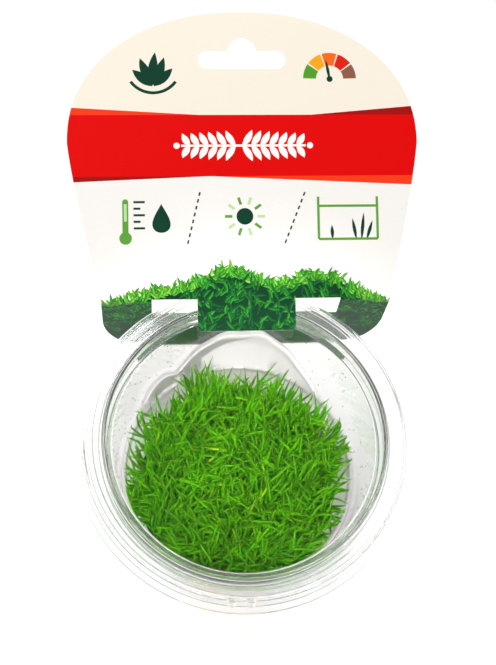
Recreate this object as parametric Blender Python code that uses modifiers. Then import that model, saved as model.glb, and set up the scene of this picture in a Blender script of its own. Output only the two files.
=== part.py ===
"""Tissue culture of a grass-like aquarium plant in a clear lidded cup with a hang card.

The centre of the cup's base is at the origin. +Z is up, +Y runs from the cup's
axis to the far end of the card, and +X is to the right of someone who looks
along +Y. Every length is in metres and every angle in degrees.
"""

import math
import random

import bmesh
import bpy
from mathutils import Matrix, Vector

MM = 0.001

# Clearance between pieces that touch, and the fineness of turned pieces
gap = 0.3 * MM
round_steps = 40

# Cup
wall_thickness = 1.0 * MM
base_radius = 37.2 * MM
wall_foot_radius = 38.9 * MM
wall_foot_height = 2.0 * MM
wall_top_radius = 43.9 * MM
neck_radius = 44.8 * MM
collar_radius = 52.7 * MM
collar_top = 42.6 * MM
collar_thickness = 1.2 * MM
rim_radius = 48.6 * MM
rim_top = 48.8 * MM
rim_thickness = 1.3 * MM
edge_round = 0.35 * MM
floor_corner = 0.6 * MM
neck_corner = 0.3 * MM

# Lid
lid_radius = 50.0 * MM
lid_top = 50.0 * MM
lid_thickness = 0.8 * MM
lid_corner = 0.5 * MM
lid_fine_corner = 0.2 * MM
brim_inner_radius = 43.6 * MM
brim_step_radius = 46.7 * MM
brim_step_drop = 0.6 * MM
recess_radius = 41.2 * MM
recess_depth = 4.2 * MM
recess_draft = 0.7 * MM
skirt_flare = 1.0 * MM
skirt_bottom = 44.4 * MM
tear_rib_angles = (-96.5, -90.0)
tear_rib_width = 0.9 * MM
tear_rib_depth = 1.0 * MM
tear_rib_height = 4.2 * MM
tear_rib_lift = 0.4 * MM

# Gel: a disc whose edge has crept up the far wall in two waves
gel_height = 8.6 * MM
gel_lip = 0.5 * MM
gel_film = 1.4 * MM
gel_film_foot = 36.4 * MM
gel_bottom_radius = 35.6 * MM
gel_chamfer_height = 3.0 * MM
gel_waves = ((86.0, 48.0, 25.0 * MM), (131.0, 22.5, 16.0 * MM))
gel_wave_fullness = 0.7

# Plant: one plantlet in each cell of a round mat
mat_centre = (-1.0 * MM, -1.0 * MM)
mat_rings = ((0.0, 1, 0.0), (14.7 * MM, 6, 12.0), (29.6 * MM, 12, 5.0))
cell_radius = 7.1 * MM
crown_radius = 4.4 * MM
crown_top_radius = 2.4 * MM
crown_height = 3.0 * MM
blade_rings = ((4, 1.2 * MM, 0.5), (8, 3.1 * MM, 1.0))
blade_foot = 0.7 * MM
blade_turn_spread = 6.0
blade_lean_range = (0.75, 1.0)
blade_bend = 1.8
blade_cuts = (0.4, 0.75)
blade_width = 1.4 * MM
blade_thickness = 0.8 * MM
blade_height = (8.5 * MM, 12.4 * MM)
plant_seed = 7

# Hang card: a tilted board with a tab over the lid and a flap folded down behind
card_thickness = 0.45 * MM
card_shift = 2.0 * MM
card_tilt = 16.0
fold_reach = 45.2 * MM
fold_height = 51.9 * MM
fold_half_width = 46.0 * MM
fold_overlap = 0.2 * MM
card_half_width = 56.2 * MM
card_widest_at = 50.5 * MM
card_length = 93.0 * MM
side_curve = 1.2
dome_curve = 2.15
tab_corner = 1.0 * MM
tab_half_width = 15.6 * MM
tab_length = 10.2 * MM
flap_inset = 0.1 * MM
flap_half_width = fold_half_width - flap_inset
flap_length = 38.8 * MM
flap_corner_width = 13.0 * MM
flap_corner_height = 22.0 * MM
opening_half_width = 30.0 * MM
opening_height = 11.2 * MM
slot_half_width = 14.1 * MM
slot_bar_height = 6.1 * MM
slot_bar_centre = 77.3 * MM
slot_hump_radius = 4.6 * MM
slot_hump_rise = 4.1 * MM

# Blank paper label on the near side of the wall
label_angle = -99.0
label_width = 24.0 * MM
label_bottom = 13.0 * MM
label_top = 36.0 * MM
label_thickness = 0.25 * MM
label_clearance = 0.4 * MM
label_columns = 10


def clear_scene():
    """Remove every object, so that the model starts from nothing."""
    for item in list(bpy.data.objects):
        bpy.data.objects.remove(item, do_unlink=True)


def new_collection(name):
    """Make a collection and link it to the scene."""
    collection = bpy.data.collections.new(name)
    bpy.context.scene.collection.children.link(collection)
    return collection


def new_material(name, colour, roughness, transmission=0.0, ior=1.45):
    """Make a Principled material with a plain colour."""
    material = bpy.data.materials.new(name)
    material.use_nodes = True
    shader = material.node_tree.nodes["Principled BSDF"]
    shader.inputs["Base Color"].default_value = (*colour, 1.0)
    shader.inputs["Roughness"].default_value = roughness
    shader.inputs["Metallic"].default_value = 0.0
    shader.inputs["Transmission Weight"].default_value = transmission
    shader.inputs["IOR"].default_value = ior
    return material


def new_object(name, data, collection, material=None):
    """Link an object with this data to a collection."""
    item = bpy.data.objects.new(name, data)
    collection.objects.link(item)
    if material is not None and not data.materials:
        data.materials.append(material)
    return item


def hide_guide(item):
    """Mark an object as a guide that is no part of the model."""
    item.hide_render = True
    item.display_type = 'WIRE'


def baked(source, name, collection, material):
    """Turn an object with modifiers, or a curve, into a plain mesh object."""
    bpy.context.view_layer.update()
    graph = bpy.context.evaluated_depsgraph_get()
    mesh = bpy.data.meshes.new_from_object(source.evaluated_get(graph))
    place = source.matrix_world.copy()
    bpy.data.objects.remove(source, do_unlink=True)
    work = bmesh.new()
    work.from_mesh(mesh)
    bmesh.ops.remove_doubles(work, verts=work.verts, dist=0.005 * MM)
    work.to_mesh(mesh)
    work.free()
    mesh.materials.clear()
    item = new_object(name, mesh, collection, material)
    item.matrix_world = place
    return item


def turned(name, profile, collection, material):
    """Turn a profile of (radius, height) points about the Z axis."""
    mesh = bpy.data.meshes.new(name)
    points = [(radius, 0.0, height) for radius, height in profile]
    edges = [(i, i + 1) for i in range(len(points) - 1)]
    mesh.from_pydata(points, edges, [])
    item = new_object(name, mesh, collection, material)
    turn = item.modifiers.new("turn", 'SCREW')
    turn.axis = 'Z'
    turn.angle = math.tau
    turn.steps = round_steps
    turn.render_steps = round_steps
    turn.use_merge_vertices = True
    turn.merge_threshold = 0.01 * MM
    turn.use_smooth_shade = True
    return item


def box(name, size, collection):
    """Make a box of the given size, centred on its origin."""
    mesh = bpy.data.meshes.new(name)
    work = bmesh.new()
    bmesh.ops.create_cube(work, size=1.0, matrix=Matrix.Diagonal((*size, 1.0)))
    work.to_mesh(mesh)
    work.free()
    return new_object(name, mesh, collection)


def join(item, other):
    """Unite a guide object with an item through a Boolean modifier."""
    hide_guide(other)
    union = item.modifiers.new("join", 'BOOLEAN')
    union.operation = 'UNION'
    union.object = other
    union.solver = 'EXACT'


def outer_wall_radius(height):
    """Radius of the cup's outer wall at a height."""
    share = (height - wall_foot_height) / (collar_top - collar_thickness - wall_foot_height)
    return wall_foot_radius + (wall_top_radius - wall_foot_radius) * share


def inner_wall_radius(height):
    """Radius of the cup's inner wall at a height."""
    return outer_wall_radius(height) - wall_thickness


def cup_profile():
    """Cup wall from the inner floor, over the rim and collar, to the base."""
    floor = wall_thickness
    collar_bottom = collar_top - collar_thickness
    rim_bottom = rim_top - rim_thickness
    return [
        (0.0, floor),
        (base_radius - wall_thickness, floor),
        (inner_wall_radius(wall_foot_height + floor_corner), wall_foot_height + floor_corner),
        (inner_wall_radius(collar_bottom), collar_bottom),
        (inner_wall_radius(collar_bottom) + neck_corner, skirt_bottom + floor_corner),
        (neck_radius - wall_thickness, rim_top - floor_corner),
        (neck_radius - wall_thickness + edge_round, rim_top),
        (rim_radius - edge_round, rim_top),
        (rim_radius, rim_top - edge_round),
        (rim_radius, rim_bottom + edge_round),
        (rim_radius - edge_round, rim_bottom),
        (neck_radius, rim_bottom),
        (neck_radius, collar_top),
        (collar_radius - edge_round, collar_top),
        (collar_radius, collar_top - edge_round),
        (collar_radius, collar_bottom + edge_round),
        (collar_radius - edge_round, collar_bottom),
        (wall_top_radius, collar_bottom),
        (wall_foot_radius, wall_foot_height),
        (base_radius, 0.0),
        (0.0, 0.0),
    ]


def lid_profile():
    """Lid from its recessed panel over the stepped brim, down the skirt and back."""
    panel_top = lid_top - recess_depth
    panel_bottom = panel_top - lid_thickness
    step_top = lid_top - brim_step_drop
    under_brim = lid_top - lid_thickness
    skirt_radius = lid_radius + skirt_flare
    return [
        (0.0, panel_top),
        (recess_radius, panel_top),
        (recess_radius + lid_corner, panel_top + lid_corner),
        (brim_inner_radius - recess_draft, lid_top - recess_draft),
        (brim_inner_radius, lid_top),
        (brim_step_radius - lid_fine_corner, lid_top),
        (brim_step_radius + lid_fine_corner, step_top),
        (lid_radius - lid_corner, step_top),
        (lid_radius, step_top - lid_corner),
        (skirt_radius, skirt_bottom),
        (skirt_radius - lid_thickness, skirt_bottom),
        (lid_radius - lid_thickness, under_brim - lid_corner),
        (lid_radius - lid_thickness - lid_fine_corner, under_brim),
        (brim_inner_radius + lid_corner, under_brim),
        (brim_inner_radius - lid_fine_corner, under_brim - lid_corner),
        (recess_radius + lid_thickness, panel_bottom),
        (0.0, panel_bottom),
    ]


def make_lid(collection, guides, material):
    """Turn the lid and join the ribs of its tear tab to the near side of the skirt."""
    lid = turned("lid", lid_profile(), collection, material)
    for number, angle in enumerate(tear_rib_angles, start=1):
        rib = box(f"tear_rib_{number}", (tear_rib_depth, tear_rib_width, tear_rib_height), guides)
        height = skirt_bottom + tear_rib_lift + tear_rib_height / 2
        reach = lid_radius + skirt_flare * 0.5
        turn = Matrix.Rotation(math.radians(angle), 4, 'Z')
        lean = Matrix.Rotation(-math.atan2(skirt_flare, lid_top - skirt_bottom), 4, 'Y')
        rib.matrix_world = turn @ Matrix.Translation((reach, 0.0, height)) @ lean
        join(lid, rib)
    return lid


def wave_height(angle):
    """How far the gel's edge stands above its disc in one direction."""
    rise = 0.0
    for centre, half_width, height in gel_waves:
        offset = (angle - centre + 180.0) % 360.0 - 180.0
        if abs(offset) < half_width:
            bump = 0.5 + 0.5 * math.cos(math.pi * offset / half_width)
            rise = max(rise, height * bump ** gel_wave_fullness)
    return rise


def gel_profile():
    """Gel disc from its top centre over the lip and down the wall to its bottom."""
    edge_height = gel_height + gel_lip
    edge_radius = inner_wall_radius(edge_height) - gap
    return [
        (0.0, gel_height),
        (gel_film_foot, gel_height),
        (edge_radius - gel_film, edge_height),
        (edge_radius, edge_height),
        (inner_wall_radius(gel_chamfer_height) - gap, gel_chamfer_height),
        (gel_bottom_radius, wall_thickness + gap),
        (0.0, wall_thickness + gap),
    ]


def make_gel(collection, material):
    """Turn the gel and raise its edge along the far wall."""
    gel = baked(turned("gel_turned", gel_profile(), collection, material), "gel", collection, material)
    edge_height = gel_height + gel_lip
    edge_radius = inner_wall_radius(edge_height) - gap
    for vertex in gel.data.vertices:
        if abs(vertex.co.z - edge_height) > 0.01 * MM:
            continue
        angle = math.atan2(vertex.co.y, vertex.co.x)
        radius = math.hypot(vertex.co.x, vertex.co.y)
        height = edge_height + wave_height(math.degrees(angle))
        radius += inner_wall_radius(height) - gap - edge_radius
        vertex.co = Vector((radius * math.cos(angle), radius * math.sin(angle), height))
    return gel


def blade_template():
    """A straight blade one unit long: a cone with three sides and two extra cuts."""
    work = bmesh.new()
    lift = Matrix.Translation((0.0, 0.0, 0.5))
    bmesh.ops.create_cone(work, cap_ends=True, segments=3, radius1=0.5, radius2=0.0, depth=1.0, matrix=lift)
    bmesh.ops.remove_doubles(work, verts=work.verts, dist=0.0001)
    for height in blade_cuts:
        geometry = list(work.verts) + list(work.edges) + list(work.faces)
        bmesh.ops.bisect_plane(work, geom=geometry, plane_co=(0.0, 0.0, height), plane_no=(0.0, 0.0, 1.0))
    return work


def blade_half_section(share):
    """Blade width at a share of its length, so that the cone becomes a lance."""
    return math.sin(math.pi * (0.22 + 0.78 * share)) ** 0.8 / max(1.0 - share, 0.05)


def add_blade(work, template, foot, heading, lean, height):
    """Bend a copy of the straight blade outwards and add it to a plantlet."""
    outward = Vector((math.cos(heading), math.sin(heading), 0.0))
    sideways = Vector((-math.sin(heading), math.cos(heading), 0.0))
    copies = {}
    for vertex in template.verts:
        share = vertex.co.z
        spread = blade_half_section(share) if share < 0.99 else 0.0
        across = vertex.co.y * blade_width * spread
        through = vertex.co.x * blade_thickness * spread
        centre = foot + outward * (lean * share ** blade_bend) + Vector((0.0, 0.0, height * share))
        slope = Vector((outward.x, outward.y, -lean / height)).normalized()
        copies[vertex] = work.verts.new(centre + sideways * across + slope * through)
    for face in template.faces:
        work.faces.new([copies[vertex] for vertex in face.verts])


def plantlet_blades(name, seed, collection):
    """All blades of one plantlet, rooted in its crown and kept inside its cell."""
    chance = random.Random(seed)
    work = bmesh.new()
    template = blade_template()
    room = cell_radius - 0.6 * blade_width
    for count, root, reach in blade_rings:
        start = chance.uniform(0.0, 360.0)
        for index in range(count):
            turn = start + 360.0 * index / count + chance.uniform(-1.0, 1.0) * blade_turn_spread
            heading = math.radians(turn)
            foot = Vector((root * math.cos(heading), root * math.sin(heading), blade_foot))
            lean = (room - root) * reach * chance.uniform(*blade_lean_range)
            add_blade(work, template, foot, heading, lean, chance.uniform(*blade_height))
    template.free()
    bmesh.ops.recalc_face_normals(work, faces=work.faces)
    mesh = bpy.data.meshes.new(name)
    work.to_mesh(mesh)
    work.free()
    return new_object(name, mesh, collection)


def make_plantlet(number, place, turn, collection, guides, material):
    """One plantlet: a low crown with its blades joined to it."""
    mesh = bpy.data.meshes.new(f"plantlet_{number:02d}")
    work = bmesh.new()
    lift = Matrix.Translation((0.0, 0.0, crown_height / 2))
    bmesh.ops.create_cone(
        work, cap_ends=True, segments=10, radius1=crown_radius, radius2=crown_top_radius,
        depth=crown_height, matrix=lift)
    work.to_mesh(mesh)
    work.free()
    plantlet = new_object(f"plantlet_{number:02d}", mesh, collection, material)
    blades = plantlet_blades(f"blades_{number:02d}", plant_seed + number, guides)
    seat = Matrix.Translation((*place, gel_height + gap)) @ Matrix.Rotation(turn, 4, 'Z')
    plantlet.matrix_world = seat
    blades.matrix_world = seat
    join(plantlet, blades)
    return plantlet


def make_plant(collection, guides, material):
    """Set one plantlet in each cell of the mat, ring by ring."""
    number = 1
    for radius, count, start in mat_rings:
        for index in range(count):
            angle = math.radians(start + 360.0 * index / count)
            place = (mat_centre[0] + radius * math.cos(angle), mat_centre[1] + radius * math.sin(angle))
            make_plantlet(number, place, angle, collection, guides, material)
            number += 1


def card_side(steps=7):
    """Right edge of the board from the fold up to its widest point."""
    points = []
    for step in range(steps):
        along = card_widest_at * step / steps
        narrowing = (1.0 - along / card_widest_at) ** side_curve
        points.append((card_half_width - (card_half_width - fold_half_width) * narrowing, along))
    return points


def card_dome(steps=14):
    """Right half of the board's domed top, from its widest point to the middle."""
    rise = card_length - card_widest_at
    points = []
    for step in range(steps + 1):
        angle = 0.5 * math.pi * step / steps
        across = card_half_width * math.cos(angle) ** (2.0 / dome_curve)
        along = card_widest_at + rise * math.sin(angle) ** (2.0 / dome_curve)
        points.append((across, along))
    return points


def mirrored(points):
    """Complete a right half outline with its mirrored left half."""
    left = [(-x, y) for x, y in reversed(points) if abs(x) > 0.01 * MM]
    return points + left


def board_outline():
    """Board with its tab, seen from above, with the fold on the X axis."""
    half = [
        (tab_half_width - tab_corner, -tab_length),
        (tab_half_width, -tab_length + tab_corner),
        (tab_half_width, -fold_overlap / 2),
        (fold_half_width, -fold_overlap),
    ]
    half += card_side() + card_dome()
    return mirrored(half)


def slot_outline(steps=8):
    """Hanging slot: a bar with round ends and a hump in the middle of its top."""
    radius = slot_bar_height / 2
    end = slot_half_width - radius
    bar_top = slot_bar_centre + radius
    half = []
    for step in range(steps + 1):
        angle = math.pi * (step / steps - 0.5)
        half.append((end + radius * math.cos(angle), slot_bar_centre + radius * math.sin(angle)))
    centre = bar_top + slot_hump_rise - slot_hump_radius
    first = math.asin((bar_top - centre) / slot_hump_radius)
    for step in range(steps):
        angle = first + (0.5 * math.pi - first) * step / (steps - 1)
        half.append((slot_hump_radius * math.cos(angle), centre + slot_hump_radius * math.sin(angle)))
    return mirrored(half)


def flap_outline(steps=8):
    """Flap below the fold, with the opening that the rim passes through."""
    half = [
        (opening_half_width, 0.0),
        (flap_half_width, 0.0),
        (flap_half_width, flap_corner_height - flap_length),
    ]
    for step in range(1, steps + 1):
        angle = 0.5 * math.pi * step / steps
        across = flap_half_width - flap_corner_width * (1.0 - math.cos(angle))
        along = flap_corner_height - flap_length - flap_corner_height * math.sin(angle)
        half.append((across, along))
    opening = [(-opening_half_width, -opening_height), (opening_half_width, -opening_height)]
    return mirrored(half) + opening


def sheet(name, outlines, collection):
    """Cut a flat sheet of card from closed outlines; the second one is a hole."""
    curve = bpy.data.curves.new(name, 'CURVE')
    curve.dimensions = '2D'
    curve.fill_mode = 'BOTH'
    curve.extrude = card_thickness / 2
    for outline in outlines:
        spline = curve.splines.new('POLY')
        spline.points.add(len(outline) - 1)
        for point, (x, y) in zip(spline.points, outline):
            point.co = (x, y, 0.0, 1.0)
        spline.use_cyclic_u = True
    return new_object(name, curve, collection)


def make_card(collection, guides, material):
    """Place the board and the flap at their angles and join them along the fold."""
    fold = Vector((card_shift, fold_reach, fold_height))
    board = sheet("board_sheet", [board_outline(), slot_outline()], collection)
    board.matrix_world = Matrix.Translation(fold) @ Matrix.Rotation(math.radians(card_tilt), 4, 'X')
    flap = sheet("flap_sheet", [flap_outline()], guides)
    flap.matrix_world = Matrix.Translation(fold) @ Matrix.Rotation(math.radians(90.0), 4, 'X')
    card = baked(board, "hang_card", collection, material)
    join(card, baked(flap, "flap", guides, material))
    return card


def make_label(collection, material):
    """Bend a blank paper label round the outside of the wall."""
    mesh = bpy.data.meshes.new("label")
    work = bmesh.new()
    bmesh.ops.create_grid(work, x_segments=label_columns, y_segments=1, size=0.5)
    middle = outer_wall_radius((label_bottom + label_top) / 2)
    half_angle = 0.5 * label_width / middle
    for vertex in work.verts:
        angle = math.radians(label_angle) + 2.0 * vertex.co.x * half_angle
        height = label_bottom + (vertex.co.y + 0.5) * (label_top - label_bottom)
        radius = outer_wall_radius(height) + label_clearance
        vertex.co = Vector((radius * math.cos(angle), radius * math.sin(angle), height))
    work.to_mesh(mesh)
    work.free()
    label = new_object("label", mesh, collection, material)
    body = label.modifiers.new("paper", 'SOLIDIFY')
    body.thickness = label_thickness
    body.offset = 1.0
    return label


def build():
    """Model the whole object."""
    clear_scene()
    parts = new_collection("tissue_culture_cup")
    guides = new_collection("guides")
    clear_plastic = new_material("clear_cup_plastic", (0.93, 0.95, 0.94), 0.08, 0.95, 1.49)
    lid_plastic = new_material("clear_lid_plastic", (0.94, 0.96, 0.96), 0.06, 0.95, 1.49)
    agar = new_material("milky_gel", (0.80, 0.80, 0.74), 0.25, 0.6, 1.34)
    leaf = new_material("green_leaf", (0.12, 0.36, 0.02), 0.4)
    card = new_material("printed_card", (0.80, 0.72, 0.62), 0.55)
    paper = new_material("label_paper", (0.78, 0.66, 0.47), 0.6)
    turned("cup", cup_profile(), parts, clear_plastic)
    make_lid(parts, guides, lid_plastic)
    make_gel(parts, agar)
    make_plant(parts, guides, leaf)
    make_card(parts, guides, card)
    make_label(parts, paper)


build()
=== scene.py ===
"""Looks for a clear cup of grass-like aquarium plant with its lid, gel, label and hang card.

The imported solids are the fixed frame. Each sub-assembly below builds a finished piece in
the place of its solid, in metres, with +Z up and the cup's base centred on the origin.
"""

import logging
import math
import random
from dataclasses import dataclass, field
from enum import Enum

import bmesh
import bpy
import numpy as np
from bmesh.types import BMesh, BMVert
from bpy.types import Material, Mesh, Node, NodeSocket, NodeTree, Object
from mathutils import Matrix, Vector, noise
from mathutils.geometry import delaunay_2d_cdt


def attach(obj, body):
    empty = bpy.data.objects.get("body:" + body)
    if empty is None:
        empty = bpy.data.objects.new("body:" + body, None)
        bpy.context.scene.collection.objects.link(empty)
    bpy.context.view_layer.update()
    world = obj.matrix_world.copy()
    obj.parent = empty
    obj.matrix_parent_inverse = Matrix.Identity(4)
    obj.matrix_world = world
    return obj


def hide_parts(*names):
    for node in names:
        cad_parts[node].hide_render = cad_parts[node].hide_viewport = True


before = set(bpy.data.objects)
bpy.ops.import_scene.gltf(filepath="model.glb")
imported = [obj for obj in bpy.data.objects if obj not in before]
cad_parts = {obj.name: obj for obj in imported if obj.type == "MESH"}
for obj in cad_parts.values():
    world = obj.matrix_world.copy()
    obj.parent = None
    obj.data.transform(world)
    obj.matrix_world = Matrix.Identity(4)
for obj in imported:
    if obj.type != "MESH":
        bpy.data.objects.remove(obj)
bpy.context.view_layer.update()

log = logging.getLogger("culture_cup")

MM = 0.001
ON_AXIS = 1e-7
FLAT = (1.0, 1.0, 0.0)
WHITE = "#FFFFFF"

Point = tuple[float, float]
Triple = tuple[float, float, float]
Colour = tuple[float, float, float, float]
Profile = list[Point]
Shaded = tuple[Material, NodeTree, Node]


# ---- colours and nodes


def linear(hex_colour: str) -> Colour:
    """Turn an sRGB hex colour into linear values.

    Args:
        hex_colour: colour such as "#4C9A10".

    Returns:
        Linear red, green, blue and an alpha of one.
    """
    values = [int(hex_colour[i:i + 2], 16) / 255.0 for i in (1, 3, 5)]
    red, green, blue = [value / 12.92 if value <= 0.04045 else ((value + 0.055) / 1.055) ** 2.4
                        for value in values]
    return (red, green, blue, 1.0)


def add_node(tree: NodeTree, kind: str, inputs: dict | None = None,
             **settings) -> Node:
    """Add a node with its settings, values and links.

    Args:
        tree: node tree to add to.
        kind: Blender's name of the node type.
        inputs: socket name or index to a value, or to an output socket to link from.
        **settings: properties of the node itself.

    Returns:
        The new node.
    """
    node = tree.nodes.new(kind)
    for key, value in settings.items():
        setattr(node, key, value)
    for key, value in (inputs or {}).items():
        if isinstance(value, NodeSocket):
            tree.links.new(value, node.inputs[key])
        else:
            node.inputs[key].default_value = value
    return node


def principled(name: str, **sockets) -> Shaded:
    """Make a material with one Principled shader.

    Args:
        name: the material's name.
        **sockets: shader values by socket name, with underscores for spaces.

    Returns:
        The material, its node tree and its shader.
    """
    material = bpy.data.materials.new(name)
    material.use_nodes = True
    tree = material.node_tree
    shader = tree.nodes["Principled BSDF"]
    for key, value in sockets.items():
        shader.inputs[key.replace("_", " ")].default_value = value
    return material, tree, shader


# ---- mesh helpers


def new_piece(name: str, mesh: Mesh,
              material: Material | None = None) -> Object:
    """Link an object that holds a mesh.

    Args:
        name: the piece's name.
        mesh: its mesh, already in the part's frame.
        material: its finish, or None where its mesh has one.

    Returns:
        The object, at the origin and unturned.
    """
    piece = bpy.data.objects.new(name, mesh)
    bpy.context.scene.collection.objects.link(piece)
    if material is not None:
        mesh.materials.clear()
        mesh.materials.append(material)
    return piece


def settle(piece: Object, slot: str, *nodes: str) -> Object:
    """Ride a finished piece on the frame in the place of its solids.

    Args:
        piece: the finished piece.
        slot: the record's material slot; not used.
        *nodes: names of the solids that it stands for.

    Returns:
        The same piece.
    """
    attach(piece, "root")
    if nodes:
        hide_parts(*nodes)
    return piece


def let_light_through(piece: Object) -> None:
    """Keep a thin piece from casting a hard shadow under the light tent."""
    piece.visible_shadow = False


def plain_mesh(work: BMesh, name: str) -> Mesh:
    """Keep a form as a mesh, just as it is.

    Args:
        work: the form, which is freed.
        name: the mesh's name.

    Returns:
        The mesh.
    """
    mesh = bpy.data.meshes.new(name)
    work.to_mesh(mesh)
    work.free()
    return mesh


def closed_mesh(work: BMesh, name: str) -> Mesh:
    """Keep a closed form as a smooth mesh with its faces outwards.

    Args:
        work: the form, which is freed.
        name: the mesh's name.

    Returns:
        The mesh.
    """
    bmesh.ops.recalc_face_normals(work, faces=work.faces)
    for face in work.faces:
        face.smooth = True
    return plain_mesh(work, name)


def rounded(corners: list[Triple], steps: int = 4, support: float = 0.12 * MM,
            longest_share: float = 0.45, room: float = 4.0) -> Profile:
    """Round the corners of a profile and keep its straight runs straight.

    Args:
        corners: radius, height and rounding of each corner.
        steps: points along each rounding.
        support: distance of the extra point that holds a straight run flat.
        longest_share: share of a straight run that one rounding may take.
        room: how many times longer than the rounding a run is that gets the extra point.

    Returns:
        Points of the rounded profile.
    """
    points: Profile = []
    for index, (x, y, rounding) in enumerate(corners):
        here = Vector((x, y))
        if rounding <= 0.0 or index in (0, len(corners) - 1):
            points.append((x, y))
            continue
        before = Vector(corners[index - 1][:2]) - here
        after = Vector(corners[index + 1][:2]) - here
        back, ahead = before.normalized(), after.normalized()
        half = 0.5 * before.angle(after)
        reach = min(rounding / math.tan(half), longest_share * before.length,
                    longest_share * after.length)
        radius = reach * math.tan(half)
        start = here + back * reach
        end = here + ahead * reach
        centre = here + (back + ahead).normalized() * (radius / math.sin(half))
        if before.length > room * reach + support:
            points.append(tuple(start + back * support))
        for step in range(steps + 1):
            spoke = (start - centre).lerp(end - centre, step / steps).normalized() * radius
            points.append(tuple(centre + spoke))
        if after.length > room * reach + support:
            points.append(tuple(end + ahead * support))
    return points


def about_axis(radius: float, angle: float, height: float) -> Triple:
    """Point at a radius and a height round the Z axis, with its angle in radians."""
    return (radius * math.cos(angle), radius * math.sin(angle), height)


def add_ring(work: BMesh, radius: float, height: float, count: int) -> list[BMVert]:
    """Add a ring of points round the Z axis."""
    return [work.verts.new(about_axis(radius, math.tau * index / count, height))
            for index in range(count)]


def join_rings(work: BMesh, rings: list[list[BMVert]]) -> None:
    """Join neighbouring rings of points with faces.

    Args:
        work: the form.
        rings: rings with the same number of points, or one point that often for a pole.
    """
    for low, high in zip(rings, rings[1:]):
        for index in range(len(low)):
            following = (index + 1) % len(low)
            corners = [low[index], low[following], high[following], high[index]]
            work.faces.new(list(dict.fromkeys(corners)))


def lathe(name: str, profile: Profile, segments: int) -> Mesh:
    """Turn a profile that starts and ends on the Z axis into a closed mesh.

    Args:
        name: the mesh's name.
        profile: radius and height of each point, from the axis round to the axis.
        segments: steps of a full turn.

    Returns:
        The mesh, shaded smooth, with its faces outwards.
    """
    work = bmesh.new()
    join_rings(work, [[work.verts.new((0.0, 0.0, height))] * segments if radius < ON_AXIS
                      else add_ring(work, radius, height, segments)
                      for radius, height in profile])
    return closed_mesh(work, name)


def evaluated(piece: Object) -> Mesh:
    """Plain mesh of a piece with its modifiers applied.

    Args:
        piece: the piece, which keeps its modifiers.

    Returns:
        The new mesh.
    """
    bpy.context.view_layer.update()
    graph = bpy.context.evaluated_depsgraph_get()
    return bpy.data.meshes.new_from_object(piece.evaluated_get(graph))


def grown(name: str, source: Mesh, tree: NodeTree,
          values: dict[str, float]) -> Mesh:
    """Run a Geometry Nodes tree on a mesh and keep the result as a plain mesh.

    Args:
        name: name of the resulting mesh.
        source: mesh that the tree starts from.
        tree: the node group.
        values: named inputs of the group to their values.

    Returns:
        The evaluated mesh.
    """
    carrier = bpy.data.objects.new(name + "_carrier", source)
    bpy.context.scene.collection.objects.link(carrier)
    modifier = carrier.modifiers.new("grow", 'NODES')
    modifier.node_group = tree
    for item in tree.interface.items_tree:
        if item.item_type == 'SOCKET' and item.in_out == 'INPUT' and item.name in values:
            modifier[item.identifier] = values[item.name]
    mesh = evaluated(carrier)
    mesh.name = name
    carrier.modifiers.remove(modifier)
    bpy.data.objects.remove(carrier, do_unlink=True)
    return mesh


def new_group(name: str, inputs: dict[str, tuple[str, float]]
              ) -> tuple[NodeTree, Node]:
    """Make an empty geometry group with named inputs.

    Args:
        name: the group's name.
        inputs: input name to its socket type and default value.

    Returns:
        The group and its Group Input node.
    """
    tree = bpy.data.node_groups.new(name, 'GeometryNodeTree')
    tree.interface.new_socket("Geometry", in_out='INPUT', socket_type='NodeSocketGeometry')
    tree.interface.new_socket("Geometry", in_out='OUTPUT', socket_type='NodeSocketGeometry')
    for key, (kind, default) in inputs.items():
        socket = tree.interface.new_socket(key, in_out='INPUT', socket_type=kind)
        socket.default_value = default
    return tree, tree.nodes.new('NodeGroupInput')


def finish_group(tree: NodeTree, geometry: NodeSocket,
                 material: Material) -> None:
    """End a geometry group: real meshes, smooth and with their material.

    Args:
        tree: the group.
        geometry: what it has made so far.
        material: finish of the result.
    """
    real = add_node(tree, 'GeometryNodeRealizeInstances', {"Geometry": geometry})
    smooth = add_node(tree, 'GeometryNodeSetShadeSmooth', {"Geometry": real.outputs[0]})
    coat = add_node(tree, 'GeometryNodeSetMaterial', {
        "Geometry": smooth.outputs[0], "Material": material})
    add_node(tree, 'NodeGroupOutput', {"Geometry": coat.outputs[0]})


# ---- finishes


@dataclass(frozen=True)
class ClearPlastic:
    """Clarified polypropylene, injection moulded.

    It gives the eye a clear wall with a faint haze, shallow flow marks in its gloss and thin
    bright lines where its edges bend the light. A thick rim of it is a trace milky.
    """

    name: str
    tint: str = WHITE
    roughness: float = 0.03
    haze: float = 0.05
    ior: float = 1.49
    milkiness: float = 0.0
    flow_mark_size: float = 6.0 * MM
    flow_mark_depth: float = 0.01 * MM

    def make(self) -> Material:
        """Build the material.

        Returns:
            The material.
        """
        material, tree, shader = principled(
            self.name, Base_Color=linear(self.tint), IOR=self.ior,
            Transmission_Weight=1.0 - self.milkiness, Specular_IOR_Level=0.5)
        place = add_node(tree, 'ShaderNodeTexCoord')
        marks = add_node(tree, 'ShaderNodeTexNoise', {
            "Vector": place.outputs["Object"], "Scale": 1.0 / self.flow_mark_size, "Detail": 2.0})
        rough = add_node(tree, 'ShaderNodeMapRange', {
            "Value": marks.outputs["Fac"], "To Min": self.roughness,
            "To Max": self.roughness + self.haze})
        tree.links.new(rough.outputs["Result"], shader.inputs["Roughness"])
        bump = add_node(tree, 'ShaderNodeBump', {
            "Height": marks.outputs["Fac"], "Strength": 0.35, "Distance": self.flow_mark_depth})
        tree.links.new(bump.outputs["Normal"], shader.inputs["Normal"])
        return material


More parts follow.
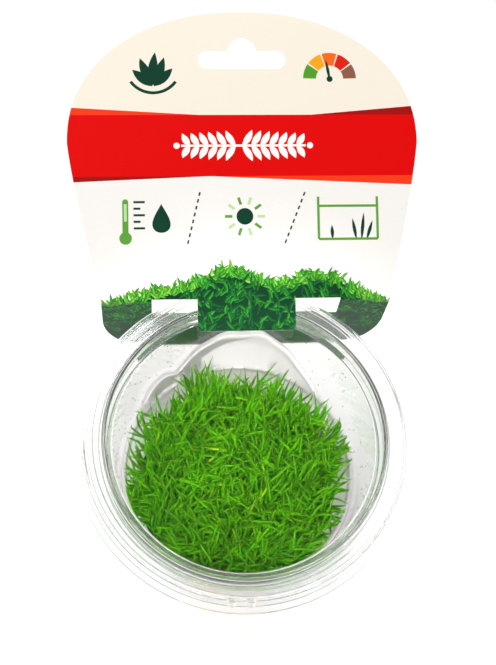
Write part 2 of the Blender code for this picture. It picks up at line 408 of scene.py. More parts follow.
@dataclass(frozen=True)
class CultureGel:
    """Agar-type culture gel, poured.

    It gives the eye a milky body with soft clouds, a wet skin and slow unevenness.
    """

    name: str = "culture_gel_poured"
    colour: str = "#FCFAF7"
    cloud: str = "#F4F1EE"
    roughness: float = 0.3
    ior: float = 1.34
    cloud_size: float = 9.0 * MM
    unevenness: float = 0.4 * MM

    def make(self) -> Material:
        """Build the material.

        Returns:
            The material.
        """
        material, tree, shader = principled(
            self.name, Roughness=self.roughness, IOR=self.ior, Transmission_Weight=0.5,
            Coat_Weight=0.6, Coat_Roughness=0.05)
        place = add_node(tree, 'ShaderNodeTexCoord')
        clouds = add_node(tree, 'ShaderNodeTexNoise', {
            "Vector": place.outputs["Object"], "Scale": 1.0 / self.cloud_size, "Detail": 4.0})
        colours = add_node(tree, 'ShaderNodeMix', {
            "Factor": clouds.outputs["Fac"], 6: linear(self.colour), 7: linear(self.cloud)},
            data_type='RGBA')
        tree.links.new(colours.outputs[2], shader.inputs["Base Color"])
        bump = add_node(tree, 'ShaderNodeBump', {
            "Height": clouds.outputs["Fac"], "Strength": 0.5, "Distance": self.unevenness})
        tree.links.new(bump.outputs["Normal"], shader.inputs["Normal"])
        return material


@dataclass(frozen=True)
class FreshLeaf:
    """Soft water plant leaf, grown.

    It gives the eye a thin blade that is lit through, dark at its foot and lighter at its tip, in
    patches of fresher and duller green, with one pale leaf among many. The dark green at the foot
    is partly painted shade, where the leaves stand deep in the mat. Real veins are near 0.1 mm
    apart and wouldn't show, so they are drawn as a mottle of 0.5 mm.
    """

    name: str = "fresh_leaf_grown"
    # Dark foot green: the leaf's own colour, darkened further as painted shade deep in the mat.
    foot: str = "#0E4400"
    middle: str = "#2C7C00"
    middle_at: float = 0.45
    tip: str = "#4A9300"
    pale: str = "#9DBA28"
    pale_from_tone: float = 0.985
    pale_strength: float = 0.7
    roughness: float = 0.32
    ior: float = 1.4
    vein_size: float = 0.5 * MM
    vein_values: Point = (0.9, 1.1)
    patch_size: float = 9.0 * MM
    patch_noise: Point = (0.3, 0.7)
    patch_values: Point = (0.72, 1.18)
    leaf_values: Point = (0.72, 1.12)

    def brightness(self, tree: NodeTree, tone: Node) -> NodeSocket:
        """Brightness of a spot, from its leaf, its patch of the mat and its veins.

        Args:
            tree: the material's nodes.
            tone: node that gives each leaf its own value from 0 to 1.

        Returns:
            Socket with the factor on the leaf's brightness.
        """
        place = add_node(tree, 'ShaderNodeTexCoord')
        veins = add_node(tree, 'ShaderNodeTexNoise', {
            "Vector": place.outputs["Object"], "Scale": 1.0 / self.vein_size, "Detail": 2.0})
        patches = add_node(tree, 'ShaderNodeTexNoise', {
            "Vector": place.outputs["Object"], "Scale": 1.0 / self.patch_size, "Detail": 1.0})
        patch = add_node(tree, 'ShaderNodeMapRange', {
            "Value": patches.outputs["Fac"], "From Min": self.patch_noise[0],
            "From Max": self.patch_noise[1], "To Min": self.patch_values[0],
            "To Max": self.patch_values[1]})
        value = add_node(tree, 'ShaderNodeMapRange', {
            "Value": tone.outputs["Fac"], "To Min": self.leaf_values[0],
            "To Max": self.leaf_values[1]})
        mottle = add_node(tree, 'ShaderNodeMapRange', {
            "Value": veins.outputs["Fac"], "To Min": self.vein_values[0],
            "To Max": self.vein_values[1]})
        both = add_node(tree, 'ShaderNodeMath', {
            0: value.outputs["Result"], 1: mottle.outputs["Result"]}, operation='MULTIPLY')
        all_three = add_node(tree, 'ShaderNodeMath', {
            0: both.outputs["Value"], 1: patch.outputs["Result"]}, operation='MULTIPLY')
        return all_three.outputs["Value"]

    def make(self) -> Material:
        """Build the material.

        Returns:
            The material.
        """
        material, tree, shader = principled(
            self.name, Roughness=self.roughness, IOR=self.ior, Specular_IOR_Level=0.22,
            Subsurface_Weight=0.35, Subsurface_Radius=(0.5, 1.0, 0.1),
            Subsurface_Scale=0.6 * MM)
        along = add_node(tree, 'ShaderNodeAttribute', attribute_name="along")
        tone = add_node(tree, 'ShaderNodeAttribute', attribute_name="tone")
        ramp = add_node(tree, 'ShaderNodeValToRGB', {"Fac": along.outputs["Fac"]})
        # The foot end of the ramp is partly painted shade where the leaves stand deep in the mat.
        ramp.color_ramp.elements[0].color = linear(self.foot)
        ramp.color_ramp.elements[1].color = linear(self.tip)
        ramp.color_ramp.elements.new(self.middle_at).color = linear(self.middle)
        shade = add_node(tree, 'ShaderNodeHueSaturation', {
            "Color": ramp.outputs["Color"], "Value": self.brightness(tree, tone)})
        picked = add_node(tree, 'ShaderNodeMapRange', {
            "Value": tone.outputs["Fac"], "From Min": self.pale_from_tone, "From Max": 1.0,
            "To Min": 0.0, "To Max": self.pale_strength})
        aged = add_node(tree, 'ShaderNodeMix', {
            "Factor": picked.outputs["Result"], 6: shade.outputs["Color"], 7: linear(self.pale)},
            data_type='RGBA')
        tree.links.new(aged.outputs[2], shader.inputs["Base Color"])
        return material


@dataclass(frozen=True)
class PrintedCard:
    """Coated board, offset printed.

    It gives the eye flat ink under a smooth, faintly glossy coat, with a slight board grain.
    Real board fibres are near 0.05 mm and wouldn't show, so they are drawn as tufts of 0.6 mm.
    """

    name: str = "coated_card_printed"
    roughness: float = 0.45
    roughness_play: float = 0.05
    ior: float = 1.5
    fibre_size: float = 0.6 * MM
    fibre_depth: float = 0.02 * MM
    fibre_values: Point = (0.97, 1.03)

    def make(self) -> Material:
        """Build the material, whose colour is the mesh's attribute "ink".

        Returns:
            The material.
        """
        material, tree, shader = principled(self.name, Specular_IOR_Level=0.08, IOR=self.ior)
        ink = add_node(tree, 'ShaderNodeAttribute', attribute_name="ink")
        place = add_node(tree, 'ShaderNodeTexCoord')
        fibres = add_node(tree, 'ShaderNodeTexNoise', {
            "Vector": place.outputs["Object"], "Scale": 1.0 / self.fibre_size, "Detail": 3.0})
        value = add_node(tree, 'ShaderNodeMapRange', {
            "Value": fibres.outputs["Fac"], "To Min": self.fibre_values[0],
            "To Max": self.fibre_values[1]})
        shade = add_node(tree, 'ShaderNodeHueSaturation', {
            "Color": ink.outputs["Color"], "Value": value.outputs["Result"]})
        tree.links.new(shade.outputs["Color"], shader.inputs["Base Color"])
        rough = add_node(tree, 'ShaderNodeMapRange', {
            "Value": fibres.outputs["Fac"], "To Min": self.roughness - self.roughness_play,
            "To Max": self.roughness + self.roughness_play})
        tree.links.new(rough.outputs["Result"], shader.inputs["Roughness"])
        bump = add_node(tree, 'ShaderNodeBump', {
            "Height": fibres.outputs["Fac"], "Strength": 0.2, "Distance": self.fibre_depth})
        tree.links.new(bump.outputs["Normal"], shader.inputs["Normal"])
        return material


@dataclass(frozen=True)
class LabelPaper:
    """Uncoated paper, pressed.

    It gives the eye a matt beige with fine fibres and small clouds. Real paper fibres are near
    0.03 mm and wouldn't show, so they are drawn as tufts of 0.5 mm.
    """

    name: str = "uncoated_paper_pressed"
    colour: str = "#E3CBA4"
    cloud: str = "#D6BB90"
    roughness: float = 0.75
    fibre_size: float = 0.5 * MM
    fibre_depth: float = 0.03 * MM

    def make(self) -> Material:
        """Build the material.

        Returns:
            The material.
        """
        material, tree, shader = principled(
            self.name, Roughness=self.roughness, Specular_IOR_Level=0.3)
        place = add_node(tree, 'ShaderNodeTexCoord')
        fibres = add_node(tree, 'ShaderNodeTexNoise', {
            "Vector": place.outputs["Object"], "Scale": 1.0 / self.fibre_size, "Detail": 4.0})
        colours = add_node(tree, 'ShaderNodeMix', {
            "Factor": fibres.outputs["Fac"], 6: linear(self.colour), 7: linear(self.cloud)},
            data_type='RGBA')
        tree.links.new(colours.outputs[2], shader.inputs["Base Color"])
        bump = add_node(tree, 'ShaderNodeBump', {
            "Height": fibres.outputs["Fac"], "Strength": 0.3, "Distance": self.fibre_depth})
        tree.links.new(bump.outputs["Normal"], shader.inputs["Normal"])
        return material


@dataclass(frozen=True)
class CondensedWater:
    """Condensed water, in still drops: clear and smooth, a small bright lens each."""

    name: str = "condensed_water"
    ior: float = 1.333

    def make(self) -> Material:
        """Build the material.

        Returns:
            The material.
        """
        return principled(self.name, Base_Color=linear(WHITE), Roughness=0.0, IOR=self.ior,
                          Transmission_Weight=1.0)[0]


# ---- cup and lid


def dress_thick_zone(piece: Object, finish: ClearPlastic, radius: float,
                     height: float) -> None:
    """Give the thick rim of a clear shell its own milky finish.

    Args:
        piece: the shell.
        finish: finish of the thick zone.
        radius: faces further out than this belong to it.
        height: faces lower than this don't.
    """
    piece.data.materials.append(finish.make())
    for face in piece.data.polygons:
        if math.hypot(face.center.x, face.center.y) > radius and face.center.z > height:
            face.material_index = 1


@dataclass
class Cup:
    """Clear tapered cup with a foot, a wide collar and an out-turned rim."""

    finish: ClearPlastic = ClearPlastic("clear_polypropylene_cup")
    rim_finish: ClearPlastic = ClearPlastic("clear_polypropylene_cup_rim", milkiness=0.015)
    wall: float = 1.0 * MM
    base_radius: float = 37.2 * MM
    base_lift: float = 0.5 * MM
    foot_radius: float = 38.9 * MM
    foot_height: float = 2.0 * MM
    foot_ring: float = 3.2 * MM
    foot_ring_slope: float = 0.8 * MM
    floor_corner: float = 2.6 * MM
    top_radius: float = 43.9 * MM
    neck_radius: float = 44.8 * MM
    neck_foot: float = 44.4 * MM
    collar_radius: float = 52.7 * MM
    collar_top: float = 42.6 * MM
    collar_thickness: float = 1.2 * MM
    rim_radius: float = 48.6 * MM
    rim_top: float = 48.8 * MM
    rim_thickness: float = 1.3 * MM
    thick_zone: float = 2.0 * MM
    segments: int = 216

    def outer(self, height: float) -> float:
        """Radius of the outer wall at a height.

        Args:
            height: height above the base.

        Returns:
            The radius.
        """
        top = self.collar_top - self.collar_thickness
        share = (height - self.foot_height) / (top - self.foot_height)
        return self.foot_radius + (self.top_radius - self.foot_radius) * share

    def inner(self, height: float) -> float:
        """Radius of the inner wall at a height."""
        return self.outer(height) - self.wall

    def corners(self) -> list[Triple]:
        """Corners of the profile, from the inner floor round to the base.

        Returns:
            Radius, height and rounding of each corner.
        """
        collar_bottom = self.collar_top - self.collar_thickness
        rim_bottom = self.rim_top - self.rim_thickness
        inside = self.neck_radius - self.wall
        ring = self.base_radius - self.foot_ring
        return [
            (0.0, self.wall + self.base_lift, 0.0),
            (ring, self.wall + self.base_lift, 0.8 * MM),
            (self.base_radius - self.wall, self.wall, 0.6 * MM),
            (self.inner(self.floor_corner), self.floor_corner, 0.8 * MM),
            (self.inner(collar_bottom), collar_bottom, 1.0 * MM),
            (inside, self.neck_foot, 1.0 * MM),
            (inside, self.rim_top, 0.5 * MM),
            (self.rim_radius, self.rim_top, 0.45 * MM),
            (self.rim_radius, rim_bottom, 0.4 * MM),
            (self.neck_radius, rim_bottom, 0.4 * MM),
            (self.neck_radius, self.collar_top, 0.5 * MM),
            (self.collar_radius, self.collar_top, 0.35 * MM),
            (self.collar_radius, collar_bottom, 0.35 * MM),
            (self.outer(collar_bottom), collar_bottom, 0.6 * MM),
            (self.foot_radius, self.foot_height, 0.8 * MM),
            (self.base_radius, 0.0, 0.4 * MM),
            (ring, 0.0, 0.4 * MM),
            (ring - self.foot_ring_slope, self.base_lift, 0.4 * MM),
            (0.0, self.base_lift, 0.0),
        ]

    def build(self) -> list[Object]:
        """Turn the cup and settle it on the frame.

        Returns:
            The cup.
        """
        mesh = lathe("cup_shell", rounded(self.corners()), self.segments)
        piece = new_piece("cup_shell", mesh, self.finish.make())
        dress_thick_zone(piece, self.rim_finish, 0.0, self.collar_top - self.thick_zone)
        let_light_through(piece)
        return [settle(piece, "cup_plastic", "cup")]


@dataclass
class Lid:
    """Clear press-fit lid with a stepped brim, a recessed panel and two tear ribs."""

    finish: ClearPlastic = ClearPlastic("clear_polypropylene_lid", haze=0.03)
    brim_finish: ClearPlastic = ClearPlastic("clear_polypropylene_lid_brim", milkiness=0.015)
    radius: float = 50.0 * MM
    top: float = 50.0 * MM
    thickness: float = 0.8 * MM
    brim_inner: float = 43.6 * MM
    brim_step: float = 46.7 * MM
    step_run: float = 0.3 * MM
    step_drop: float = 0.6 * MM
    recess_radius: float = 41.2 * MM
    recess_depth: float = 4.2 * MM
    skirt_flare: float = 1.0 * MM
    skirt_bottom: float = 44.4 * MM
    thick_zone: float = 0.1 * MM
    rib_angles: Point = (-96.5, -90.0)
    rib_size: Triple = (1.0 * MM, 0.9 * MM, 4.2 * MM)
    rib_lift: float = 0.4 * MM
    rib_rounding: float = 0.2 * MM
    segments: int = 216

    def corners(self) -> list[Triple]:
        """Corners of the profile, from the panel's top over the brim and back underneath.

        Returns:
            Radius, height and rounding of each corner.
        """
        panel_top = self.top - self.recess_depth
        panel_bottom = panel_top - self.thickness
        step_top = self.top - self.step_drop
        under = self.top - self.thickness
        skirt = self.radius + self.skirt_flare
        return [
            (0.0, panel_top, 0.0),
            (self.recess_radius, panel_top, 0.5 * MM),
            (self.brim_inner - 0.6 * MM, self.top, 0.5 * MM),
            (self.brim_step, self.top, 0.25 * MM),
            (self.brim_step + self.step_run, step_top, 0.25 * MM),
            (self.radius, step_top, 0.6 * MM),
            (skirt, self.skirt_bottom, 0.25 * MM),
            (skirt - self.thickness, self.skirt_bottom, 0.25 * MM),
            (self.radius - self.thickness, under - 0.05 * MM, 0.4 * MM),
            (self.brim_inner + 0.1 * MM, under, 0.4 * MM),
            (self.recess_radius + self.thickness, panel_bottom, 0.5 * MM),
            (0.0, panel_bottom, 0.0),
        ]

    def rib(self, angle: float) -> Object:
        """Make one tear rib against the skirt.

        Args:
            angle: direction from the axis in degrees.

        Returns:
            The rib as a rounded block.
        """
        work = bmesh.new()
        bmesh.ops.create_cube(work, size=1.0, matrix=Matrix.Diagonal((*self.rib_size, 1.0)))
        bmesh.ops.bevel(work, geom=list(work.edges), offset=self.rib_rounding, segments=2,
                        affect='EDGES')
        tilt = math.atan2(self.skirt_flare, self.top - self.skirt_bottom)
        lean = Matrix.Rotation(-tilt, 4, 'Y')
        height = self.skirt_bottom + self.rib_lift + self.rib_size[2] / 2
        reach = self.radius + self.skirt_flare * 0.5
        turn = Matrix.Rotation(math.radians(angle), 4, 'Z')
        place = turn @ Matrix.Translation((reach, 0.0, height)) @ lean
        bmesh.ops.transform(work, matrix=place, verts=work.verts)
        return new_piece("tear_rib", plain_mesh(work, "tear_rib"))

    def build(self) -> list[Object]:
        """Turn the lid, unite its tear ribs with it and settle it on the frame.

        Returns:
            The lid.
        """
        mesh = lathe("lid_shell", rounded(self.corners()), self.segments)
        piece = new_piece("lid_shell", mesh, self.finish.make())
        for angle in self.rib_angles:
            rib = self.rib(angle)
            union = piece.modifiers.new("rib", 'BOOLEAN')
            union.operation = 'UNION'
            union.solver = 'EXACT'
            union.object = rib
            joined = evaluated(piece)
            piece.modifiers.remove(union)
            piece.data = joined
            bpy.data.objects.remove(rib, do_unlink=True)
        dress_thick_zone(piece, self.brim_finish, self.recess_radius + self.thick_zone, 0.0)
        let_light_through(piece)
        return [settle(piece, "lid_plastic", "lid")]


# ---- gel


@dataclass(frozen=True)
class Wave:
    """One wave of the gel's edge: its peak's direction, its half width and its height."""

    centre: float
    half_width: float
    height: float

    def rise(self, angle: float, fullness: float) -> float:
        """Height of the wave in one direction.

        Args:
            angle: direction from the axis in degrees.
            fullness: below one for a rounder crest.

        Returns:
            The height, zero outside the wave.
        """
        offset = (angle - self.centre + 180.0) % 360.0 - 180.0
        if abs(offset) >= self.half_width:
            return 0.0
        return self.height * (0.5 + 0.5 * math.cos(math.pi * offset / self.half_width)) ** fullness


@dataclass
class Gel:
    """Milky gel disc whose edge has crept up the far wall in two waves."""

    cup: Cup
    finish: CultureGel = CultureGel()
    gap: float = 0.3 * MM
    floor: float = 1.9 * MM
    floor_radius: float = 35.6 * MM
    floor_corner: float = 3.0 * MM
    height: float = 8.6 * MM
    lip: float = 0.5 * MM
    lip_fall: float = 0.2 * MM
    disc_rings: Point = (0.3, 0.8)
    film: float = 1.4 * MM
    film_foot: float = 36.4 * MM
    film_round: float = 0.6 * MM
    film_start: float = 0.1 * MM
    film_taper: float = 0.45
    film_levels: int = 9
    bead: float = 0.7 * MM
    bead_share: float = 0.25
    crest: float = 0.45 * MM
    crest_share: float = 0.6
    waves: tuple[Wave, ...] = (Wave(86.0, 48.0, 25.0 * MM), Wave(131.0, 20.0, 11.0 * MM))
    fullness: float = 0.7
    ripples: tuple[Triple, ...] = ((0.035, 11.0, 0.0), (0.03, 23.0, 1.0))
    segments: int = 240

    def rise(self, angle: float) -> float:
        """How far the edge stands above the disc in one direction.

        Args:
            angle: direction from the axis in degrees.

        Returns:
            The height of the highest wave there, with its small ripples.
        """
        rise = max(wave.rise(angle, self.fullness) for wave in self.waves)
        turn = math.radians(angle)
        return rise * (1.0 + sum(depth * math.sin(turn * count + phase)
                                 for depth, count, phase in self.ripples))

    def column(self, angle: float) -> Profile:
        """Section of the gel in one direction, from its top round its edge to its floor.

        Args:
            angle: direction from the axis in degrees.

        Returns:
            Radius and height of each point.
        """
        edge = self.height + self.lip
        start = self.height + self.film_start
        top = edge + self.rise(angle)
        points = [(share * self.film_foot, self.height) for share in self.disc_rings]
        points += [(self.film_foot - self.film_round, self.height), (self.film_foot, start)]
        for level in range(1, self.film_levels + 1):
            share = level / self.film_levels
            height = start + (top - start) * share
            swell = self.bead * max(0.0, (share - 1.0) / self.bead_share + 1.0)
            thick = self.film * (1.0 - self.film_taper * share) + swell
            points.append((self.cup.inner(height) - self.gap - thick, height))
        crest = self.cup.inner(top) - self.gap
        points += [(crest - self.crest_share * self.film, top + self.crest), (crest, top)]
        points.append((self.cup.inner(edge) - self.gap, edge - self.lip_fall))
        points.append((self.cup.inner(self.floor_corner) - self.gap, self.floor_corner))
        points.append((self.floor_radius, self.floor))
        return points

    def build(self) -> list[Object]:
        """Build the gel column by column and settle it on the frame.

        Returns:
            The gel.
        """
        work = bmesh.new()
        columns = []
        for index in range(self.segments):
            angle = math.tau * index / self.segments
            columns.append([work.verts.new(about_axis(radius, angle, height))
                            for radius, height in self.column(math.degrees(angle))])
        top, low = (work.verts.new((0.0, 0.0, height)) for height in (self.height, self.floor))
        rings = [list(ring) for ring in zip(*columns)]
        join_rings(work, [[top] * self.segments] + rings + [[low] * self.segments])
        piece = new_piece("culture_gel", closed_mesh(work, "culture_gel"), self.finish.make())
        return [settle(piece, "gel", "gel")]


# ---- plant


@dataclass(frozen=True)
class Storey:
    """Spacing, lengths and unruliness of the leaves of one storey."""

    spacing: float
    shortest: float
    longest: float
    stray: float
    hook: float
    seed: int

    def inputs(self) -> dict[str, float]:
        """Values of the leaf group's named inputs."""
        return {"Spacing": self.spacing, "Shortest": self.shortest, "Longest": self.longest,
                "Stray": self.stray, "Hook": self.hook, "Seed": self.seed}


class Layer(Enum):
    """The two storeys of the leaf mat, lowest first."""

    UNDERGROWTH = Storey(0.76 * MM, 8.0 * MM, 13.0 * MM, 0.9, 0.35, 3)
    CANOPY = Storey(0.76 * MM, 11.0 * MM, 18.0 * MM, 0.55, 0.4, 8)


@dataclass
class Crowns:
    """Low lumpy cushion of crowns that the leaves stand in.

    Its coarse and fine unevenness are given in lumps per metre.
    """

    centre: Point
    radius: float
    foot: float
    overhang: float = 0.6 * MM
    height: float = 1.9 * MM
    unevenness: float = 0.9 * MM
    lumps: float = 420.0
    fine_lumps: float = 1100.0
    fine_share: float = 0.5
    edge_power: int = 6
    skirt: float = 0.1 * MM
    rings: int = 30
    spokes: int = 120

    def swell(self, x: float, y: float, share: float) -> float:
        """Height of the cushion above its foot.

        Args:
            x: place along X.
            y: place along Y.
            share: distance from the middle, as a share of the radius.

        Returns:
            The height, never below zero.
        """
        lump = noise.noise(Vector((x, y, 0.0)) * self.lumps)
        lump += self.fine_share * noise.noise(Vector((x, y, 1.0)) * self.fine_lumps)
        fall = math.cos(0.5 * math.pi * share ** self.edge_power)
        return max((self.height + self.unevenness * lump) * fall, 0.0)

    def build(self, material: Material) -> Object:
        """Build the cushion ring by ring.

        Args:
            material: finish of the leaves.

        Returns:
            The cushion, not yet settled.
        """
        work = bmesh.new()
        grid = []
        for ring in range(1, self.rings + 1):
            share = ring / self.rings
            reach = (self.radius + self.overhang) * share
            row = []
            for spoke in range(self.spokes):
                angle = math.tau * spoke / self.spokes
                x = self.centre[0] + reach * math.cos(angle)
                y = self.centre[1] + reach * math.sin(angle)
                row.append(work.verts.new((x, y, self.foot + self.swell(x, y, share))))
            grid.append(row)
        pole = work.verts.new((*self.centre, self.foot + self.height))
        under = [work.verts.new((vertex.co.x, vertex.co.y, self.foot - self.skirt))
                 for vertex in grid[-1]]
        join_rings(work, [[pole] * self.spokes] + grid + [under])
        work.faces.new(under[::-1])
        # The cushion carries no "along" or "tone" values, so the leaf finish gives it its darkest
        # foot green, which paints shade in the gaps of the mat.
        return new_piece("leaf_crowns", closed_mesh(work, "leaf_crowns"), material)


@dataclass
class LeafMat:
    """Mat of thin lance-shaped leaves that stand in one thick tangle on the gel.

    Thickness is a share of the width, leans are in leaf lengths, and the taper gives the width
    along a leaf from its foot to its tip. The wall's slope and foot are those of the cone that
    keeps the leaves inside the cup.
    """

    finish: FreshLeaf = FreshLeaf()
    centre: Point = (-1.0 * MM, -5.5 * MM)
    radius: float = 31.5 * MM
    patch_sides: int = 64
    foot: float = 9.1 * MM
    width: float = 0.8 * MM
    thickness: float = 0.3
    taper: tuple[Point, ...] = ((0.0, 0.45), (1.0, 0.12), (0.3, 0.75), (0.6, 1.0), (0.85, 0.8))
    points_per_leaf: int = 7
    leaf_sides: int = 4
    stem_length: float = 10.0 * MM
    densest: float = 3.0e6
    tufts_per_metre: float = 130.0
    tuft_lean: float = 4.0
    combed: Triple = (0.14, 0.55, 0.0)
    edge_from: float = 0.62
    edge_lean: float = 0.16
    lean_power: float = 1.5
    hook_power: float = 3.0
    hook_lowest: Triple = (-1.0, -1.0, -0.6)
    hook_highest: Triple = (1.0, 1.0, 0.0)
    tone_seed: int = 11
    hook_seed: int = 23
    wall_foot: float = 35.3 * MM
    wall_slope: float = 0.127

    def patch(self) -> Mesh:
        """Disc that the leaves grow from.

        Returns:
            The disc's mesh.
        """
        work = bmesh.new()
        place = Matrix.Translation((*self.centre, self.foot))
        bmesh.ops.create_circle(work, cap_ends=True, radius=self.radius,
                                segments=self.patch_sides, matrix=place)
        bmesh.ops.triangulate(work, faces=work.faces)
        return plain_mesh(work, "mat_patch")

    def flare(self, tree: NodeTree, place: Node) -> NodeSocket:
        """Outward lean of the leaves near the mat's edge.

        Args:
            tree: the leaf group.
            place: node that gives each leaf's position.

        Returns:
            Socket with the lean as a vector.
        """
        outward = add_node(tree, 'ShaderNodeVectorMath', {
            0: place.outputs[0], 1: (*self.centre, self.foot)}, operation='SUBTRACT')
        far = add_node(tree, 'ShaderNodeVectorMath', {0: outward.outputs[0]}, operation='LENGTH')
        edge = add_node(tree, 'ShaderNodeMapRange', {
            "Value": far.outputs["Value"], "From Min": self.edge_from * self.radius,
            "From Max": self.radius, "To Min": 0.0, "To Max": self.edge_lean})
        away = add_node(tree, 'ShaderNodeVectorMath', {
            0: outward.outputs[0]}, operation='NORMALIZE')
        flared = add_node(tree, 'ShaderNodeVectorMath', {
            0: away.outputs[0], "Scale": edge.outputs["Result"]}, operation='SCALE')
        return flared.outputs[0]

    def leaning(self, tree: NodeTree, spread: NodeSocket,
                seed: NodeSocket) -> NodeSocket:
        """Sideways lean of each leaf: tufts that share a heading, strays and an outward edge.

        Args:
            tree: the leaf group.
            spread: how far a leaf may stray.
            seed: seed of the random strays.

        Returns:
            Socket with the lean as a vector, in leaf lengths.
        """
        place = add_node(tree, 'GeometryNodeInputPosition')
        tufts = add_node(tree, 'ShaderNodeTexNoise', {
            "Vector": place.outputs[0], "Scale": self.tufts_per_metre, "Detail": 1.0})
        shifted = add_node(tree, 'ShaderNodeVectorMath', {
            0: tufts.outputs["Color"], 1: (0.5, 0.5, 0.5)}, operation='SUBTRACT')
        tuft = add_node(tree, 'ShaderNodeVectorMath', {
            0: shifted.outputs[0], "Scale": self.tuft_lean}, operation='SCALE')
        stray = add_node(tree, 'FunctionNodeRandomValue', {
            "Min": (-1.0, -1.0, 0.0), "Max": FLAT, "Seed": seed}, data_type='FLOAT_VECTOR')
        wild = add_node(tree, 'ShaderNodeVectorMath', {
            0: stray.outputs[0], "Scale": spread}, operation='SCALE')
        flared = self.flare(tree, place)
        total = tuft.outputs[0]
        for lean in (wild.outputs[0], flared, self.combed):
            joined = add_node(tree, 'ShaderNodeVectorMath', {0: total, 1: lean}, operation='ADD')
            total = joined.outputs[0]
        flat = add_node(tree, 'ShaderNodeVectorMath', {0: total, 1: FLAT}, operation='MULTIPLY')
        return flat.outputs[0]

    def planted(self, tree: NodeTree, given: Node) -> NodeSocket:
        """Scatter the leaves' feet on the patch and stand a straight stem on each.

        Args:
            tree: the leaf group.
            given: its Group Input node.

        Returns:
            Socket with the stems as real curves, which carry their own leaf's values.
        """
        seed = given.outputs["Seed"]
        scatter = add_node(tree, 'GeometryNodeDistributePointsOnFaces', {
            "Mesh": given.outputs["Geometry"], "Distance Min": given.outputs["Spacing"],
            "Density Max": self.densest, "Seed": seed}, distribute_method='POISSON')
        lean = self.leaning(tree, given.outputs["Stray"], seed)
        length = add_node(tree, 'FunctionNodeRandomValue', {
            2: given.outputs["Shortest"], 3: given.outputs["Longest"], "Seed": seed})
        tone = add_node(tree, 'FunctionNodeRandomValue', {
            2: 0.0, 3: 1.0, "Seed": self.tone_seed})
        hook = add_node(tree, 'FunctionNodeRandomValue', {
            "Min": self.hook_lowest, "Max": self.hook_highest, "Seed": self.hook_seed},
            data_type='FLOAT_VECTOR')
        foot = add_node(tree, 'GeometryNodeInputPosition')
        stored = scatter.outputs["Points"]
        for key, kind, value in (("lean", 'FLOAT_VECTOR', lean),
                                 ("length", 'FLOAT', length.outputs[1]),
                                 ("tone", 'FLOAT', tone.outputs[1]),
                                 ("hook", 'FLOAT_VECTOR', hook.outputs[0]),
                                 ("foot", 'FLOAT_VECTOR', foot.outputs[0])):
            keep = add_node(tree, 'GeometryNodeStoreNamedAttribute', {
                "Geometry": stored, "Name": key, "Value": value}, data_type=kind, domain='POINT')
            stored = keep.outputs["Geometry"]
        stem = add_node(tree, 'GeometryNodeCurvePrimitiveLine', {
            "Start": (0.0, 0.0, 0.0), "End": (0.0, 0.0, self.stem_length)})
        steps = add_node(tree, 'GeometryNodeResampleCurve', {
            "Curve": stem.outputs[0], "Count": self.points_per_leaf})
        copies = add_node(tree, 'GeometryNodeInstanceOnPoints', {
            "Points": stored, "Instance": steps.outputs[0]})
        single = add_node(tree, 'GeometryNodeRealizeInstances', {"Geometry": copies.outputs[0]})
        return single.outputs[0]

    def group(self, material: Material) -> NodeTree:
        """Geometry group that grows curved, tapered leaves from points scattered on the patch.

        Args:
            material: finish set on the leaves.

        Returns:
            The group, with an input for each value of a storey.
        """
        defaults = Layer.CANOPY.value.inputs()
        tree, given = new_group("leaf_mat", {
            key: ('NodeSocketInt' if key == "Seed" else 'NodeSocketFloat', value)
            for key, value in defaults.items()})
        stems = self.planted(tree, given)
        along = add_node(tree, 'GeometryNodeSplineParameter')
        marked = add_node(tree, 'GeometryNodeStoreNamedAttribute', {
            "Geometry": stems, "Name": "along", "Value": along.outputs["Factor"]},
            data_type='FLOAT', domain='POINT')
        bent = add_node(tree, 'GeometryNodeSetPosition', {
            "Geometry": marked.outputs[0], "Position": self.spine(tree, given.outputs["Hook"])})
        upright = add_node(tree, 'GeometryNodeSetCurveNormal', {
            "Curve": bent.outputs[0]}, mode='Z_UP')
        taper = add_node(tree, 'ShaderNodeFloatCurve', {"Value": along.outputs["Factor"]})
        self.taper_points(taper)
        size = add_node(tree, 'ShaderNodeMath', {
            0: taper.outputs[0], 1: self.width}, operation='MULTIPLY')
        section = add_node(tree, 'GeometryNodeCurvePrimitiveCircle', {
            "Resolution": self.leaf_sides, "Radius": 0.5})
        lens = add_node(tree, 'GeometryNodeTransform', {
            "Geometry": section.outputs[0], "Scale": (1.0, self.thickness, 1.0)})
        leaves = add_node(tree, 'GeometryNodeCurveToMesh', {
            "Curve": upright.outputs[0], "Profile Curve": lens.outputs[0],
            "Scale": size.outputs[0], "Fill Caps": True})
        finish_group(tree, leaves.outputs[0], material)
        return tree

